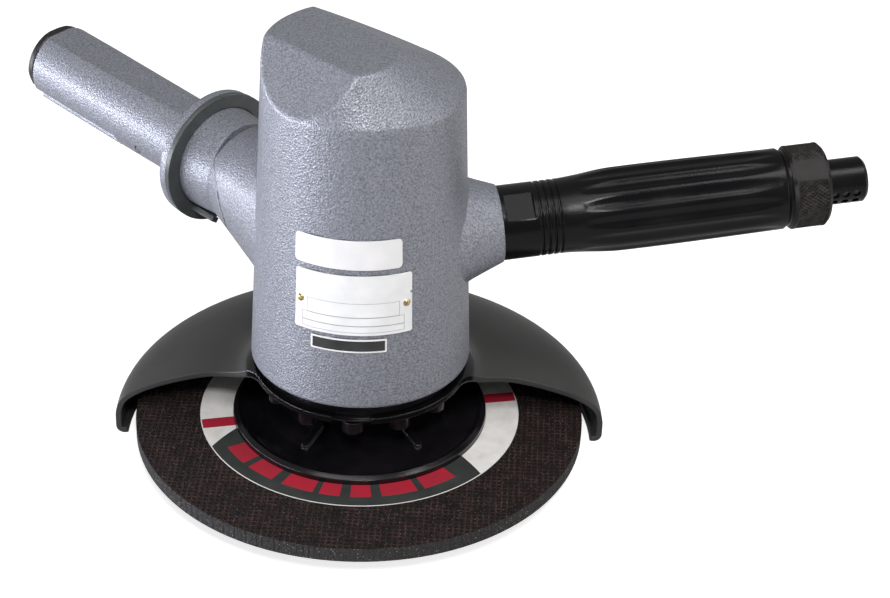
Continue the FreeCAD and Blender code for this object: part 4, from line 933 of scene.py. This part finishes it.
def barrel_loft(rows, radius_at, steps):
    """A closed tube-like mesh from a loop of (radius, along) rows; radius_at shapes each."""
    corners = []
    for radius, along in rows:
        for step in range(steps):
            angle = 2 * math.pi * step / steps
            reach = radius_at(radius, along, angle)
            corners.append(on_exhaust((reach * math.cos(angle), reach * math.sin(angle), along)))
    faces = []
    for row in range(len(rows)):
        first, second = row * steps, (row + 1) % len(rows) * steps
        for step in range(steps):
            after = (step + 1) % steps
            faces.append((first + step, first + after, second + after, second + step))
    return corners, faces


def flat_reach(distance, angle):
    """How far a pair of opposite flats lets the surface reach at an angle."""
    across = abs(math.cos(angle - flat_angle))
    return distance / across if across > distance else math.inf


def flute_reach(radius, along, angle):
    """How far the nearest flute's round floor lets the barrel reach; it runs out at both ends."""
    share = min(along - flute_start, flute_end - along) / flute_taper
    depth = flute_depth * math.sin(math.pi / 2 * min(max(share, 0.0), 1.0))
    if depth <= 0:
        return math.inf
    pitch = 2 * math.pi / flute_count
    off = (angle + pitch / 2) % pitch - pitch / 2
    centre = radius + flute_radius - depth
    room = flute_radius ** 2 - (centre * math.sin(off)) ** 2
    return centre * math.cos(off) - math.sqrt(room) if room > 0 else math.inf


def handle_surface(radius, along, angle):
    """The handle's outline, with its flats and the flutes' softened edges cut in."""
    if flat_start < along < flat_end and radius > flat_distance:
        radius = min(radius, flat_reach(flat_distance, angle))
    if flute_start < along < flute_end and radius > muffler_radius:
        floor = flute_reach(radius, along, angle)
        if floor < radius + softened_reach:
            level = math.exp(-radius / flute_softness) + math.exp(-floor / flute_softness)
            radius = -flute_softness * math.log(level)
    return radius


handle_rows = [(bore_radius, spigot_start), (spigot_radius, spigot_start), (spigot_radius, boss_end),
               (root_radius - break_width, boss_end), (root_radius, boss_end + break_width),
               (root_radius, flat_start - break_width), (root_radius, flat_start + break_width / 2),
               (root_radius, flat_end - break_width / 2), (root_radius, flat_end + break_width)]
for index in range(groove_count):
    low = groove_start + index * groove_pitch
    floor = root_radius - groove_depth
    high = low + groove_width
    handle_rows += [(root_radius, low - break_width), (root_radius - break_width, low),
                    (floor, low + break_width / 2), (floor, high - break_width / 2),
                    (root_radius - break_width, high), (root_radius, high + break_width)]
for step in range(barrel_steps + 1):
    along = barrel_start + (barrel_end - break_width - barrel_start) * step / barrel_steps
    shoulder = min((along - barrel_start) / (barrel_full - barrel_start), 1.0)
    swell = 0.5 - 0.5 * math.cos(math.pi * shoulder)
    belly = barrel_belly * math.sin(math.pi * (step / barrel_steps) ** belly_lean)
    handle_rows.append((root_radius + (barrel_radius - root_radius) * swell + belly, along))
handle_rows += [(barrel_radius - break_width, barrel_end), (neck_radius, barrel_end + ring_chamfer),
                (neck_radius, ring_start), (thread_radius, ring_start), (thread_radius, thread_end),
                (muffler_radius, thread_end), (muffler_radius, muffler_start), (bore_radius, muffler_start)]

anodised = clouded_finish("gloss_anodised", dark=(0.0018, 0.0015, 0.0022, 1),
                          light=(0.0045, 0.004, 0.0046, 1), bright=(0.040, 0.039, 0.040, 1),
                          grains=(0.02, 0.0006), wear=(0.0005, 0.5, 0.003), rough=(0.17, 0.28),
                          depth=0.00006, edge=0.0005, mask="Cloud", Specular_IOR_Level=0.21)
dress(anodised, "exhaust_tube")

corners, faces = barrel_loft(handle_rows, handle_surface, handle_steps)
piece("exhaust_grip", corners, faces, [anodised], "housing", ["exhaust_handle"])


# Lock ring: steel, turned, diamond-knurled round its two round sides and left smooth on
# the milled flats, with a dark brown oxide that the knurl's tips have worn through.
knurl_count = 70
knurl_depth = 0.00062
knurl_slope = 0.75
knurl_samples = 6
knurl_margin = 0.0006


def knurl_height(along, angle):
    """From 0 in a knurl's groove to 1 on a tip, along two crossing helices."""
    turn = angle * knurl_count / (2 * math.pi)
    lead = (along - ring_start) * knurl_count / (2 * math.pi * ring_radius) * knurl_slope
    return min(abs((turn + lead) % 1 - 0.5), abs((turn - lead) % 1 - 0.5)) * 2


def ring_surface(radius, along, angle):
    """The ring's outline with its knurl and its pair of flats."""
    if radius < ring_radius - ring_chamfer / 2:
        return radius
    if ring_start + ring_chamfer + knurl_margin < along < ring_end - ring_chamfer - knurl_margin:
        radius -= knurl_depth * (1 - knurl_height(along, angle))
    if ring_start + ring_chamfer / 2 < along < ring_end - ring_chamfer / 2:
        radius = min(radius, flat_reach(ring_flat, angle))
    return radius


knurl_steps = knurl_count * knurl_samples
knurl_run = ring_end - ring_start - 2 * ring_chamfer
knurl_rows = round(knurl_run / (2 * math.pi * ring_radius / knurl_steps) * knurl_slope)
lock_rows = [(thread_radius, ring_start), (ring_radius - ring_chamfer, ring_start)]
lock_rows += [(ring_radius, ring_start + ring_chamfer + knurl_run * step / knurl_rows)
              for step in range(knurl_rows + 1)]
lock_rows += [(ring_radius - ring_chamfer, ring_end), (tube_radius, ring_end),
              (tube_radius, flange_end), (thread_radius, flange_end)]

knurl_oxide = clouded_finish("knurl_oxide", dark=(0.0065, 0.0052, 0.0048, 1),
                             light=(0.014, 0.0115, 0.0105, 1), bright=(0.12, 0.108, 0.098, 1),
                             grains=(0.004, 0.0003), wear=(0.0004, 0.7, 0.002), rough=(0.38, 0.54),
                             depth=0.00004, edge=0.0002, Metallic=0.4, Specular_IOR_Level=0.4)
corners, faces = barrel_loft(lock_rows, ring_surface, knurl_steps)
piece("knurled_ring", corners, faces, [knurl_oxide], "housing", ["lock_ring"], smooth=False)
